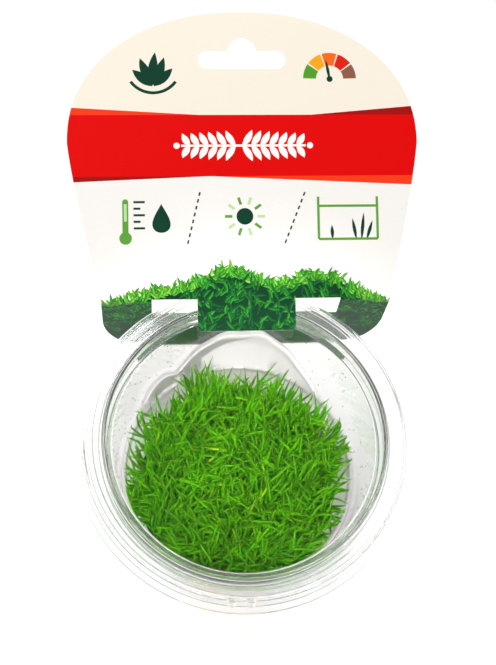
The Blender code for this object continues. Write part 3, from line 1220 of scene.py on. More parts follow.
    def spine(self, tree: NodeTree,
              hooking: NodeSocket) -> NodeSocket:
        """Position along each leaf: up from its foot, leaning over and hooked at its end.

        Args:
            tree: the leaf group.
            hooking: strength of the hook at the tip.

        Returns:
            Socket with the new position.
        """
        read = {}
        for key, kind in (("lean", 'FLOAT_VECTOR'), ("length", 'FLOAT'), ("hook", 'FLOAT_VECTOR'),
                          ("foot", 'FLOAT_VECTOR'), ("along", 'FLOAT')):
            node = add_node(tree, 'GeometryNodeInputNamedAttribute', {"Name": key}, data_type=kind)
            read[key] = node.outputs[0]
        bend = add_node(tree, 'ShaderNodeMath', {
            0: read["along"], 1: self.lean_power}, operation='POWER')
        curl = add_node(tree, 'ShaderNodeMath', {
            0: read["along"], 1: self.hook_power}, operation='POWER')
        strength = add_node(tree, 'ShaderNodeMath', {
            0: curl.outputs[0], 1: hooking}, operation='MULTIPLY')
        side = add_node(tree, 'ShaderNodeVectorMath', {
            0: read["lean"], "Scale": bend.outputs[0]}, operation='SCALE')
        tail = add_node(tree, 'ShaderNodeVectorMath', {
            0: read["hook"], "Scale": strength.outputs[0]}, operation='SCALE')
        up = add_node(tree, 'ShaderNodeCombineXYZ', {"Z": read["along"]})
        first = add_node(tree, 'ShaderNodeVectorMath', {
            0: side.outputs[0], 1: tail.outputs[0]}, operation='ADD')
        shape = add_node(tree, 'ShaderNodeVectorMath', {
            0: first.outputs[0], 1: up.outputs[0]}, operation='ADD')
        # A leaf that leans further is drawn in, so that its length stays the same.
        spread = add_node(tree, 'ShaderNodeVectorMath', {0: read["lean"]}, operation='LENGTH')
        square = add_node(tree, 'ShaderNodeMath', {
            0: spread.outputs["Value"], 1: spread.outputs["Value"], 2: 1.0},
            operation='MULTIPLY_ADD')
        root = add_node(tree, 'ShaderNodeMath', {0: square.outputs[0]}, operation='SQRT')
        reach = add_node(tree, 'ShaderNodeMath', {
            0: read["length"], 1: root.outputs[0]}, operation='DIVIDE')
        sized = add_node(tree, 'ShaderNodeVectorMath', {
            0: shape.outputs[0], "Scale": reach.outputs[0]}, operation='SCALE')
        moved = add_node(tree, 'ShaderNodeVectorMath', {
            0: read["foot"], 1: sized.outputs[0]}, operation='ADD')
        return self.inside_wall(tree, moved.outputs[0])

    def inside_wall(self, tree: NodeTree,
                    place: NodeSocket) -> NodeSocket:
        """Press a position back inside the tapered wall, as leaves bend along it.

        Args:
            tree: the leaf group.
            place: position that may lie past the wall.

        Returns:
            Socket with the position inside the wall.
        """
        parts = add_node(tree, 'ShaderNodeSeparateXYZ', {"Vector": place})
        limit = add_node(tree, 'ShaderNodeMath', {
            0: parts.outputs["Z"], 1: self.wall_slope, 2: self.wall_foot},
            operation='MULTIPLY_ADD')
        flat = add_node(tree, 'ShaderNodeVectorMath', {0: place, 1: FLAT}, operation='MULTIPLY')
        far = add_node(tree, 'ShaderNodeVectorMath', {0: flat.outputs[0]}, operation='LENGTH')
        ratio = add_node(tree, 'ShaderNodeMath', {
            0: limit.outputs[0], 1: far.outputs["Value"]}, operation='DIVIDE')
        share = add_node(tree, 'ShaderNodeMath', {
            0: ratio.outputs[0], 1: 1.0}, operation='MINIMUM')
        pulled = add_node(tree, 'ShaderNodeVectorMath', {
            0: flat.outputs[0], "Scale": share.outputs[0]}, operation='SCALE')
        up = add_node(tree, 'ShaderNodeCombineXYZ', {"Z": parts.outputs["Z"]})
        inside = add_node(tree, 'ShaderNodeVectorMath', {
            0: pulled.outputs[0], 1: up.outputs[0]}, operation='ADD')
        return inside.outputs[0]

    def taper_points(self, node: Node) -> None:
        """Give the leaf its lance shape along its length.

        Args:
            node: curve node that turns the place along a leaf into its width.
        """
        curve = node.mapping.curves[0]
        ends, between = self.taper[:2], self.taper[2:]
        for point, location in zip(curve.points, ends):
            point.location = location
        for share, width in between:
            curve.points.new(share, width)
        node.mapping.update()

    def build(self) -> list[Object]:
        """Grow both storeys of the mat from their crowns and settle them on the frame.

        Returns:
            The crowns, the undergrowth and the canopy.
        """
        material = self.finish.make()
        # The crowns are real, but their darkest foot green is painted shade in the gaps between
        # the leaves.
        crowns = Crowns(self.centre, self.radius, self.foot).build(material)
        pieces = [settle(crowns, "leaf")]
        tree = self.group(material)
        plantlets = [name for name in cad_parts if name.startswith("plantlet")]
        for layer in Layer:
            name = f"leaf_{layer.name.lower()}"
            mesh = grown(name, self.patch(), tree, layer.value.inputs())
            stands_for = plantlets if layer is Layer.CANOPY else []
            pieces.append(settle(new_piece(name, mesh), "leaf", *stands_for))
        return pieces


# ---- hang card


class Ink(Enum):
    """Inks of the card, as sRGB hex."""

    CREAM = "#EFE6D6"
    BOARD = "#EFEBE6"
    RED = "#DC0000"
    ORANGE_RED = "#F23A18"
    DARK_RED = "#9E0C0A"
    WHITE = "#FFF8F0"
    DARK_GREEN = "#0B3B2A"
    MID_GREEN = "#5C9B3A"
    LIGHT_GREEN = "#B9D9A0"
    GRASS_SHADE = "#06301A"
    GAUGE_GREEN = "#4E9A2A"
    GAUGE_YELLOW = "#F2A21A"
    GAUGE_ORANGE = "#F2661B"
    GAUGE_RED = "#D8200F"
    GAUGE_BROWN = "#8A5A44"

    @property
    def colour(self) -> Colour:
        """Linear colour of the ink."""
        return linear(self.value)


@dataclass
class Shape:
    """One printed shape: its outline on the flat card, in millimetres, and its colour."""

    outline: list[Point]
    colour: Colour


def arc(x: float, y: float, radius: float, start: float, end: float, steps: int) -> list[Point]:
    """Points along an arc.

    Args:
        x: centre across the card.
        y: centre along the card.
        radius: radius of the arc.
        start: angle of its first point in radians.
        end: angle of its last point in radians.
        steps: steps from the first point to the last.

    Returns:
        One point more than there are steps.
    """
    angles = [start + (end - start) * i / steps for i in range(steps + 1)]
    return [(x + radius * math.cos(angle), y + radius * math.sin(angle)) for angle in angles]


def disc(x: float, y: float, radius: float, steps: int = 20) -> list[Point]:
    """Outline of a disc."""
    return arc(x, y, radius, 0.0, math.tau, steps)[:-1]


def bar(start: Point, end: Point, width: float) -> list[Point]:
    """Outline of a straight bar.

    Args:
        start: middle of its one end.
        end: middle of its other end.
        width: its width.

    Returns:
        The outline.
    """
    direction = (Vector(end) - Vector(start)).normalized() * (0.5 * width)
    side = Vector((-direction.y, direction.x))
    return [tuple(Vector(start) + side), tuple(Vector(start) - side),
            tuple(Vector(end) - side), tuple(Vector(end) + side)]


def ring_part(x: float, y: float, radii: Point, start: float, end: float,
              steps: int = 10) -> list[Point]:
    """Outline of a part of a ring.

    Args:
        x: centre across the card.
        y: centre along the card.
        radii: inner and outer radius.
        start: angle of one end in degrees.
        end: angle of the other end in degrees.
        steps: steps along each side.

    Returns:
        The outline.
    """
    first, last = math.radians(start), math.radians(end)
    return arc(x, y, radii[1], first, last, steps) + arc(x, y, radii[0], last, first, steps)


def leaf(x: float, y: float, heading: float, length: float, width: float, bend: float = 0.0,
         steps: int = 5, side_only: int = 0) -> list[Point]:
    """Outline of a pointed leaf.

    Args:
        x: foot of the leaf across the card.
        y: foot of the leaf along the card.
        heading: direction at the foot in degrees.
        length: length of the leaf.
        width: its greatest width.
        bend: how far its direction turns by the tip, in degrees.
        steps: points along each side.
        side_only: 1 or -1 for the left or right half of the blade alone, 0 for all of it.

    Returns:
        The outline.
    """
    foot_share, fullness = 0.12, 0.9
    left, right = [], []
    place = Vector((x, y))
    for step in range(steps):
        share = step / steps
        angle = math.radians(heading + bend * share)
        direction = Vector((math.cos(angle), math.sin(angle)))
        swell = math.sin(math.pi * (foot_share + (1.0 - foot_share) * share)) ** fullness
        side = Vector((-direction.y, direction.x)) * (0.5 * width * swell)
        left.append(tuple(place + (side if side_only >= 0 else side * 0.0)))
        right.append(tuple(place - (side if side_only <= 0 else side * 0.0)))
        place = place + direction * (length / steps)
    return right + [tuple(place)] + left[::-1]


def drop(x: float, y: float, width: float, height: float, steps: int = 24) -> list[Point]:
    """Outline of a water drop with its point up.

    Args:
        x: middle across the card.
        y: middle along the card.
        width: width of the drop, near enough.
        height: height of the drop.
        steps: points round it.

    Returns:
        The outline.
    """
    fullness, sharpness = 0.65, 1.5
    angles = [math.tau * i / steps for i in range(steps)]
    return [(x + fullness * width * math.sin(angle) * math.sin(angle / 2) ** sharpness,
             y + 0.5 * height * math.cos(angle)) for angle in angles]


def within(outline: list[Point], place: Point) -> bool:
    """Whether a point lies inside an outline.

    Args:
        outline: the outline.
        place: the point.

    Returns:
        True inside.
    """
    x, y = place
    crossings = 0
    for (ax, ay), (bx, by) in zip(outline, outline[1:] + outline[:1]):
        if (ay > y) != (by > y) and x < ax + (bx - ax) * (y - ay) / (by - ay):
            crossings += 1
    return crossings % 2 == 1


@dataclass
class CardPrint:
    """Plain printed design of the card: a red band, small signs and a strip of grass.

    Its places and sizes are in millimetres on the flat card, across from its middle and along
    from its fold, and its angles in degrees. A fold is its ink, its side, where it leaves the
    band and its height at the card's edge. The grass is drawn blade by blade, far coarser than
    real turf, so that its blades show.
    """

    half_width: float = 58.0
    board_foot: float = -60.0
    band_foot: float = 39.4
    band_top: float = 59.3
    folds: tuple[tuple[Ink, int, float, float], ...] = (
        (Ink.ORANGE_RED, -1, -14.0, 61.9), (Ink.DARK_RED, 1, 22.0, 62.4),
        (Ink.DARK_RED, -1, -12.0, 37.5), (Ink.ORANGE_RED, 1, -10.0, 36.2))
    garland_at: float = 49.3
    garland_half: float = 20.0
    garland_lift: float = 0.3
    twig_width: float = 0.7
    knob_reach: float = 1.4
    knob_radius: float = 1.0
    garland_leaf: Point = (5.6, 2.1)
    garland_pitch: float = 2.9
    garland_pairs: int = 6
    garland_shrink: float = 0.22
    garland_heading: float = 52.0
    garland_bend: float = 18.0
    sprig_foot: Point = (-28.6, 69.2)
    sprig_leaves: tuple[Point, ...] = ((150.0, 8.2), (122.0, 9.6), (92.0, 10.6), (62.0, 9.6),
                                       (34.0, 8.2))
    sprig_leaf_width: float = 3.2
    sprig_bend: float = 14.0
    bow_rise: float = 6.2
    bow_radii: Point = (8.4, 9.4)
    bow_ends: Point = (216.0, 324.0)
    gauge_at: Point = (28.3, 71.0)
    gauge_radii: Point = (4.4, 8.6)
    gauge_step: float = 36.0
    gauge_gap: float = 1.5
    pointer: Triple = (100.0, 6.6, 1.0)
    hub_radius: float = 1.0
    lines: tuple[tuple[Point, Point], ...] = (((-14.2, 34.3), (-18.6, 16.7)),
                                              ((19.4, 34.1), (12.3, 16.7)))
    dashes: int = 8
    dash_share: float = 0.55
    dash_width: float = 0.55
    tube: tuple[Point, Point, float] = ((-38.0, 20.6), (-38.0, 31.2), 1.9)
    filling: tuple[Point, Point, float] = ((-38.0, 25.0), (-38.0, 30.6), 0.9)
    bulb: Triple = (-38.0, 19.6, 2.0)
    ticks: int = 5
    ticks_at: Point = (-35.4, 22.8)
    tick_pitch: float = 2.1
    tick_lengths: Point = (3.6, 2.2)
    tick_width: float = 0.7
    water_drop: tuple[float, float, float, float] = (-26.6, 26.0, 6.4, 9.4)
    sun_at: Point = (0.0, 26.4)
    sun_radius: float = 2.7
    sun_rays: int = 10
    ray_reach: Point = (4.0, 6.4)
    ray_width: float = 0.9
    tank: tuple[float, float, float, float] = (23.6, 42.6, 18.9, 32.6)
    tank_water: float = 29.6
    tank_stroke: float = 0.8
    tank_plant_lift: float = 0.4
    tank_plant_width: float = 1.1
    tank_plants: tuple[Triple, ...] = ((35.6, 100.0, 6.4), (37.4, 84.0, 8.2), (39.2, 72.0, 5.8),
                                       (28.0, 92.0, 4.2))
    seed: int = 5
    grass_half: int = 46
    blades: int = 900
    blade_depth: float = 25.0
    blade_crowding: float = 1.1
    fringe: int = 420
    fringe_depth: float = 22.0
    fringe_share: float = 0.09
    tip_share: float = 0.1
    blade_sink: float = 1.5
    blade_heading: Point = (10.0, 170.0)
    blade_length: Point = (2.4, 4.4)
    blade_width: Point = (0.75, 1.2)
    blade_bend: Point = (-80.0, 80.0)
    blade_brightness: Point = (0.75, 1.15)
    blade_fade: float = 0.35
    blade_steps: int = 4
    ground_sink: float = 1.9
    ground_foot: float = -40.0
    two_tone: Point = (0.8, 1.75)
    tones: tuple[str, ...] = ("#145A1C", "#1C6A20", "#26781F", "#0F4C1E", "#0B4222")
    tips: tuple[str, ...] = ("#3F8A22", "#5C9C2A", "#2F7C20")
    swells: tuple[Triple, ...] = ((9.2, -5.0, 12.0), (8.4, 24.0, 13.0), (3.4, -27.0, 12.0))
    turf_middle: float = 1.2
    turf_fall: float = 0.0011

    def band(self) -> list[Shape]:
        """Bare board under a red band whose ends are folded.

        Returns:
            The shapes.
        """
        side, foot, top = self.half_width, self.band_foot, self.band_top
        shapes = [Shape([(-side, low), (side, low), (side, high), (-side, high)], ink.colour)
                  for ink, low, high in ((Ink.BOARD, self.board_foot, foot),
                                         (Ink.RED, foot, top))]
        for ink, end, start, height in self.folds:
            edge = top if height > top else foot
            shapes.append(Shape([(start, edge), (end * side, edge), (end * side, height)],
                                ink.colour))
        return shapes

    def garland(self) -> list[Shape]:
        """White twig with paired leaves along the band.

        Returns:
            The shapes.
        """
        middle, half, white = self.garland_at, self.garland_half, Ink.WHITE.colour
        outlines = [bar((-half, middle), (half, middle), self.twig_width)]
        for index in range(-self.garland_pairs, self.garland_pairs + 1):
            x = index * self.garland_pitch
            length = self.garland_leaf[0] - self.garland_shrink * abs(index)
            forward = index >= 0
            heading = self.garland_heading if forward else 180.0 - self.garland_heading
            bend = self.garland_bend if forward else -self.garland_bend
            outlines += [leaf(x, middle + side * self.garland_lift, side * heading, length,
                              self.garland_leaf[1], side * bend) for side in (1, -1)]
        outlines += [disc(end * (half + self.knob_reach), middle, self.knob_radius)
                     for end in (-1, 1)]
        return [Shape(outline, white) for outline in outlines]

    def sprig(self) -> list[Shape]:
        """Dark green fan of leaves over a bowed line, at the upper left.

        Returns:
            The shapes.
        """
        x, y = self.sprig_foot
        outlines = []
        for heading, length in self.sprig_leaves:
            bend = -self.sprig_bend if heading > 90 else self.sprig_bend
            outlines.append(leaf(x, y, heading, length, self.sprig_leaf_width, bend, 8))
        outlines.append(ring_part(x, y + self.bow_rise, self.bow_radii, *self.bow_ends, 12))
        return [Shape(outline, Ink.DARK_GREEN.colour) for outline in outlines]

    def gauge(self) -> list[Shape]:
        """Half ring in five steps of colour with a pointer, at the upper right.

        Returns:
            The shapes.
        """
        inks = (Ink.GAUGE_GREEN, Ink.GAUGE_YELLOW, Ink.GAUGE_ORANGE, Ink.GAUGE_RED,
                Ink.GAUGE_BROWN)
        x, y = self.gauge_at
        shapes = []
        for index, ink in enumerate(inks):
            start = 180.0 - self.gauge_step * index
            end = start - self.gauge_step
            shapes.append(Shape(ring_part(x, y, self.gauge_radii, start - self.gauge_gap,
                                          end + self.gauge_gap, 8), ink.colour))
        return shapes + [Shape(outline, Ink.DARK_GREEN.colour) for outline in (
            leaf(x, y, *self.pointer), disc(x, y, self.hub_radius))]

    def dividers(self) -> list[Shape]:
        """Two slanted dashed lines between the small signs.

        Returns:
            The shapes.
        """
        shapes = []
        for top, foot in self.lines:
            start, end = Vector(top), Vector(foot)
            for index in range(self.dashes):
                near = start.lerp(end, index / self.dashes)
                far = start.lerp(end, (index + self.dash_share) / self.dashes)
                shapes.append(Shape(bar(tuple(near), tuple(far), self.dash_width),
                                    Ink.DARK_GREEN.colour))
        return shapes

    def warmth(self) -> list[Shape]:
        """Thermometer with tick marks, and a drop beside it.

        Returns:
            The shapes.
        """
        dark, mid, pale = Ink.DARK_GREEN.colour, Ink.MID_GREEN.colour, Ink.LIGHT_GREEN.colour
        _, top, width = self.tube
        shapes = [Shape(bar(*self.tube), mid), Shape(disc(*top, width / 2), mid),
                  Shape(disc(*self.bulb), mid), Shape(bar(*self.filling), pale)]
        for index in range(self.ticks):
            x, y = self.ticks_at[0], self.ticks_at[1] + self.tick_pitch * index
            end = (x + self.tick_lengths[index % 2], y)
            shapes.append(Shape(bar((x, y), end, self.tick_width), dark))
        return shapes + [Shape(drop(*self.water_drop), dark)]

    def sun(self) -> list[Shape]:
        """Disc with rays in two greens.

        Returns:
            The shapes.
        """
        x, y = self.sun_at
        shapes = [Shape(disc(x, y, self.sun_radius), Ink.DARK_GREEN.colour)]
        rays = zip(*(disc(x, y, reach, self.sun_rays) for reach in self.ray_reach))
        for index, (near, far) in enumerate(rays):
            ink = Ink.MID_GREEN if index % 2 else Ink.LIGHT_GREEN
            shapes.append(Shape(bar(near, far, self.ray_width), ink.colour))
        return shapes

    def planted_tank(self) -> list[Shape]:
        """Outline of an open tank with its water line and a few plants.

        Returns:
            The shapes.
        """
        left, right, floor, top = self.tank
        water = self.tank_water
        strokes = (((left, floor), (right, floor)), ((left, floor), (left, top)),
                   ((right, floor), (right, top)), ((left, water), (right, water)))
        foot = floor + self.tank_plant_lift
        return [Shape(bar(start, end, self.tank_stroke), Ink.MID_GREEN.colour)
                for start, end in strokes] + [
            Shape(leaf(x, foot, heading, length, self.tank_plant_width), Ink.DARK_GREEN.colour)
            for x, heading, length in self.tank_plants]

    def turf_height(self, x: float) -> float:
        """Height of the printed grass at one place across the card.

        Args:
            x: the place.

        Returns:
            The height.
        """
        swell = sum(height * math.exp(-((x - middle) / reach) ** 2)
                    for height, middle, reach in self.swells)
        return self.turf_middle + swell - self.turf_fall * x * x

    def grass(self) -> list[Shape]:
        """Strip of grass along the fold, brighter at its top, over the tab and the flap.

        Returns:
            The shapes.
        """
        chance = random.Random(self.seed)
        side = self.grass_half
        outline = [(float(x), self.turf_height(x) - self.ground_sink)
                   for x in range(side, -side - 1, -2)]
        corners = [(-float(side), self.ground_foot), (float(side), self.ground_foot)]
        shapes = [Shape(corners + outline, Ink.GRASS_SHADE.colour)]
        rows = []
        for _ in range(self.blades):
            x = chance.uniform(-side, side)
            depth = chance.random() ** self.blade_crowding
            rows.append((self.turf_height(x) - depth * self.blade_depth, x, depth))
        for _ in range(self.fringe):
            x = chance.uniform(-side, side)
            depth = chance.uniform(0.0, self.fringe_share)
            rows.append((self.turf_height(x) - depth * self.fringe_depth, x, depth))
        rows.sort(key=lambda row: -row[0])
        for y, x, depth in rows:
            shapes += self.blade(chance, x, y, depth)
        return shapes

    def blade(self, chance: random.Random, x: float, y: float, depth: float) -> list[Shape]:
        """One printed blade of grass with a shaded and a lit side.

        Args:
            chance: source of its random choices.
            x: its place across the card.
            y: its place along the card.
            depth: how deep in the turf it stands, from 0 at the top to 1.

        Returns:
            The whole blade, and its lit side over it.
        """
        hexes = self.tips if depth < self.tip_share else self.tones
        heading = chance.uniform(*self.blade_heading)
        colour = linear(hexes[chance.randrange(len(hexes))])
        fade = (1.0 - self.blade_fade * depth) * chance.uniform(*self.blade_brightness)
        length, width = chance.uniform(*self.blade_length), chance.uniform(*self.blade_width)
        bend = chance.uniform(*self.blade_bend)
        lit_side = 1 if math.cos(math.radians(heading)) < 0.0 else -1
        shapes = []
        for sides, gain in zip((0, lit_side), self.two_tone):
            shade = tuple(min(1.0, part * fade * gain) for part in colour[:3]) + (1.0,)
            shapes.append(Shape(leaf(x, y - self.blade_sink, heading, length, width, bend,
                                     self.blade_steps, sides), shade))
        return shapes

    def shapes(self) -> list[Shape]:
        """Every printed shape, lowest first."""
        return (self.band() + self.garland() + self.sprig() + self.gauge() + self.dividers()
                + self.warmth() + self.sun() + self.planted_tank() + self.grass())


@dataclass
class HangCard:
    """Card whose domed board slopes up from the lid, with a tab and a folded flap.

    Its sizes are in millimetres and its tilt in degrees, on the flat card: across from its
    middle and along from its fold, up over the board and down over the flap.
    """

    finish: PrintedCard = PrintedCard()
    design: CardPrint = field(default_factory=CardPrint)
    thickness: float = 0.45
    shift: float = 2.0
    tilt: float = 16.0
    fold_reach: float = 45.2
    fold_height: float = 51.9
    fold_bend_radius: float = 0.45
    fold_half_width: float = 46.0
    fold_steps: int = 5
    half_width: float = 56.2
    widest_at: float = 50.5
    length: float = 93.0
    side_curve: float = 1.2
    side_steps: int = 16
    dome_curve: float = 2.15
    dome_steps: int = 32
    tab_half_width: float = 15.6
    tab_length: float = 10.2
    tab_corner: float = 1.0
    flap_length: float = 38.8
    flap_corner: Point = (13.0, 22.0)
    opening_half_width: float = 30.0
    opening_height: float = 11.2
    slot_half_width: float = 14.1
    slot_bar_height: float = 6.1
    slot_centre: float = 77.3
    slot_hump_radius: float = 4.6
    slot_hump_rise: float = 4.1
    slot_end_steps: int = 14
    slot_hump_steps: int = 12
    on_line: float = 1e-3
    seam_margin: float = 3.0
    mesh_tolerance: float = 1e-5
    edge_slack: float = 0.01

    @staticmethod
    def mirrored(half: list[Point]) -> list[Point]:
        """Complete a right half outline with its mirrored left half."""
        return half + [(-x, y) for x, y in reversed(half) if abs(x) > 0.001]

    def outline(self) -> list[Point]:
        """Outline of the unfolded card, flap below the fold and dome above it.

        Returns:
            The outline.
        """
        half: list[Point] = []
        corner_width, corner_height = self.flap_corner
        corner_top = corner_height - self.flap_length
        for step in range(self.side_steps, 0, -1):
            angle = 0.5 * math.pi * step / self.side_steps
            half.append((self.fold_half_width - corner_width * (1.0 - math.cos(angle)),
                         corner_top - corner_height * math.sin(angle)))
        half.append((self.fold_half_width, corner_top))
        for step in range(self.side_steps):
            along = self.widest_at * step / self.side_steps
            narrowing = (1.0 - along / self.widest_at) ** self.side_curve
            half.append((self.half_width - (self.half_width - self.fold_half_width) * narrowing,
                         along))
        power = 2.0 / self.dome_curve
        for step in range(self.dome_steps + 1):
            angle = 0.5 * math.pi * step / self.dome_steps
            half.append((self.half_width * math.cos(angle) ** power,
                         self.widest_at + (self.length - self.widest_at)
                         * math.sin(angle) ** power))
        return self.mirrored(half)

    def slot_outline(self) -> list[Point]:
        """Hanging slot: a bar with round ends and a hump in the middle of its top.

        Returns:
            The outline.
        """
        radius = self.slot_bar_height / 2
        half = arc(self.slot_half_width - radius, self.slot_centre, radius, -0.5 * math.pi,
                   0.5 * math.pi, self.slot_end_steps)
        centre = self.slot_centre + radius + self.slot_hump_rise - self.slot_hump_radius
        first = math.asin((self.slot_centre + radius - centre) / self.slot_hump_radius)
        half += arc(0.0, centre, self.slot_hump_radius, first, 0.5 * math.pi,
                    self.slot_hump_steps)
        return self.mirrored(half)

    def window_outline(self) -> list[Point]:
        """Opening in the flap, cut round the tab.

        Returns:
            The outline.
        """
        half = [(self.tab_half_width, 0.0), (self.opening_half_width, 0.0),
                (self.opening_half_width, -self.opening_height)]
        left = [(-x, y) for x, y in reversed(half)]
        corner, width, length = self.tab_corner, self.tab_half_width, self.tab_length
        tab = [(-width, corner - length), (corner - width, -length), (width - corner, -length),
               (width, corner - length)]
        return half + left + tab

    def fold_rows(self) -> list[float]:
        """Places along the card where the fold's bend has an edge, from board to flap."""
        return [-self.fold_arc() * level / self.fold_steps for level in range(self.fold_steps + 1)]

    def arrangement(self) -> tuple[list[Point], list[list[int]], list[Colour]]:
        """Split the flat card along every printed edge.

        Returns:
            Points, triangles and the colour of each triangle.
        """
        shapes = [Shape(self.outline(), Ink.CREAM.colour)] + self.design.shapes()
        holes = [self.slot_outline(), self.window_outline()]
        points: list[Vector] = []
        faces: list[list[int]] = []
        for outline in [shape.outline for shape in shapes] + holes:
            following = outline[1:] + outline[:1]
            area = sum(a[0] * b[1] - b[0] * a[1] for a, b in zip(outline, following))
            ordered = outline if area > 0 else outline[::-1]
            faces.append(list(range(len(points), len(points) + len(ordered))))
            points += [Vector(point) for point in ordered]
        edges = []
        reach = self.fold_half_width + self.seam_margin
        for height in self.fold_rows():
            edges.append((len(points), len(points) + 1))
            points += [Vector((-reach, height)), Vector((reach, height))]
        found = delaunay_2d_cdt(points, edges, faces, 1, self.mesh_tolerance, True)
        first_hole = len(shapes)
        triangles, colours = [], []
        for triangle, sources in zip(found[2], found[5]):
            if 0 not in sources or any(source >= first_hole for source in sources):
                continue
            triangles.append(list(triangle))
            colours.append(shapes[max(sources)].colour)
        return [tuple(point) for point in found[0]], triangles, colours

    def plain_side(self, points: list[Point], edges: list[tuple[int, int]]) -> list[list[int]]:
        """Triangles of the unprinted side, from the border of the printed one.

        Args:
            points: points of the printed side.
            edges: its border edges.

        Returns:
            Triangles as indices of the same points.
        """
        border = sorted({index for edge in edges for index in edge})
        order = {index: number for number, index in enumerate(border)}
        lines = [(order[a], order[b]) for a, b in edges]
        for height in self.fold_rows():
            row = sorted((points[index][0], order[index]) for index in border
                         if abs(points[index][1] - height) < self.on_line)
            lines += [(a[1], b[1]) for a, b in zip(row, row[1:])
                      if self.on_card(((a[0] + b[0]) / 2, height - 0.1 * self.on_line))]
        flat = [Vector(points[index]) for index in border]
        found = delaunay_2d_cdt(flat, lines, [], 0, self.mesh_tolerance, True)
        triangles = []
        for face in found[2]:
            middle = sum((found[0][i] for i in face), Vector((0.0, 0.0))) / 3
            if self.on_card(tuple(middle)):
                triangles.append([border[found[3][i][0]] for i in face])
        return triangles

    def on_card(self, place: Point) -> bool:
        """Whether a point of the flat card lies on the card and in none of its openings.

        Args:
            place: the point.

        Returns:
            True on the card.
        """
        openings = (self.slot_outline(), self.window_outline())
        return within(self.outline(), place) and not any(within(opening, place)
                                                         for opening in openings)

    def fold_arc(self) -> float:
        """Length of the bend between board and flap."""
        return self.fold_bend_radius * math.radians(90.0 - self.tilt)

    def placed(self, x: float, v: float, lift: float) -> Triple:
        """Place a point of the flat card in the part's frame.

        Args:
            x: distance across the card from its middle.
            v: distance along the card from the fold.
            lift: distance from the middle of the card's thickness.

        Returns:
            The point in metres.
        """
        tilt = math.radians(self.tilt)
        on_tab = (abs(x) < self.tab_half_width + self.edge_slack
                  and v > -self.tab_length - self.edge_slack)
        if v >= 0.0 or on_tab:
            y, z = v * math.cos(tilt), v * math.sin(tilt)
            normal = (-math.sin(tilt), math.cos(tilt))
        else:
            turn = min(-v / self.fold_bend_radius, math.radians(90.0 - self.tilt))
            past = max(-v - self.fold_arc(), 0.0)
            radius = self.fold_bend_radius
            centre = (radius * math.sin(tilt), -radius * math.cos(tilt))
            normal = (-math.sin(tilt + turn), math.cos(tilt + turn))
            y = centre[0] + radius * normal[0]
            z = centre[1] + radius * normal[1] - past
        return ((self.shift + x) * MM, (self.fold_reach + y + lift * normal[0]) * MM,
                (self.fold_height + z + lift * normal[1]) * MM)

    @staticmethod
    def print_inks(mesh: Mesh, colours: list[Colour]) -> None:
        """Lay the inks on the first faces of a mesh and bare board on the others.

        Args:
            mesh: the card's mesh.
            colours: colour of each printed triangle.
        """
        inks = mesh.color_attributes.new("ink", 'FLOAT_COLOR', 'CORNER')
        values = np.ones((len(mesh.loops), 4), dtype=np.float32)
        values[:] = Ink.BOARD.colour
        for polygon, colour in zip(mesh.polygons, colours):
            values[polygon.loop_start:polygon.loop_start + 3] = colour
        inks.data.foreach_set("color", values.ravel())

    def build(self) -> list[Object]:
        """Fold the printed card, give it its thickness and settle it on the frame.

        Returns:
            The card.
        """
        points, triangles, colours = self.arrangement()
        used = sorted({index for triangle in triangles for index in triangle})
        order = {index: number for number, index in enumerate(used)}
        flat = [points[index] for index in used]
        faces = [[order[i] for i in triangle] for triangle in triangles]
        sides = {(face[i], face[(i + 1) % 3]) for face in faces for i in range(3)}
        edges = [(a, b) for a, b in sides if (b, a) not in sides]
        border = sorted({index for edge in edges for index in edge})
        under = {index: len(flat) + number for number, index in enumerate(border)}
        half = self.thickness / 2
        top = [self.placed(*point, half) for point in flat]
        low = [self.placed(*flat[index], -half) for index in border]
        back = [[under[index] for index in reversed(face)]
                for face in self.plain_side(flat, edges)]
        rim = [[b, a, under[a], under[b]] for a, b in edges]
        mesh = bpy.data.meshes.new("hang_card_printed")
        mesh.from_pydata(top + low, [], faces + back + rim)
        self.print_inks(mesh, colours)
        mesh.update()
        piece = new_piece("hang_card_printed", mesh, self.finish.make())
        let_light_through(piece)
        return [settle(piece, "card", "hang_card")]


# ---- label


@dataclass
class Label:
    """Blank paper label bent round the near side of the wall."""

    cup: Cup
    finish: LabelPaper = LabelPaper()
    angle: float = -99.0
    width: float = 24.0 * MM
    bottom: float = 13.0 * MM
    top: float = 36.0 * MM
    thickness: float = 0.25 * MM
    clearance: float = 0.4 * MM
    columns: int = 48
    rows: int = 8

    def build(self) -> list[Object]:
        """Bend the label round the wall and settle it on the frame.

        Returns:
            The label.
        """
        work = bmesh.new()
        bmesh.ops.create_grid(work, x_segments=self.columns, y_segments=self.rows, size=0.5)
        middle = self.cup.outer((self.bottom + self.top) / 2)
        for vertex in work.verts:
            angle = math.radians(self.angle) + vertex.co.x * self.width / middle
            height = self.bottom + (vertex.co.y + 0.5) * (self.top - self.bottom)
            vertex.co = about_axis(self.cup.outer(height) + self.clearance, angle, height)
        bmesh.ops.recalc_face_normals(work, faces=work.faces)
        piece = new_piece("wall_label", plain_mesh(work, "wall_label"), self.finish.make())
        body = piece.modifiers.new("paper", 'SOLIDIFY')
        body.thickness = self.thickness
        body.offset = 0.0
        return [settle(piece, "label_paper", "label")]


# ---- moisture


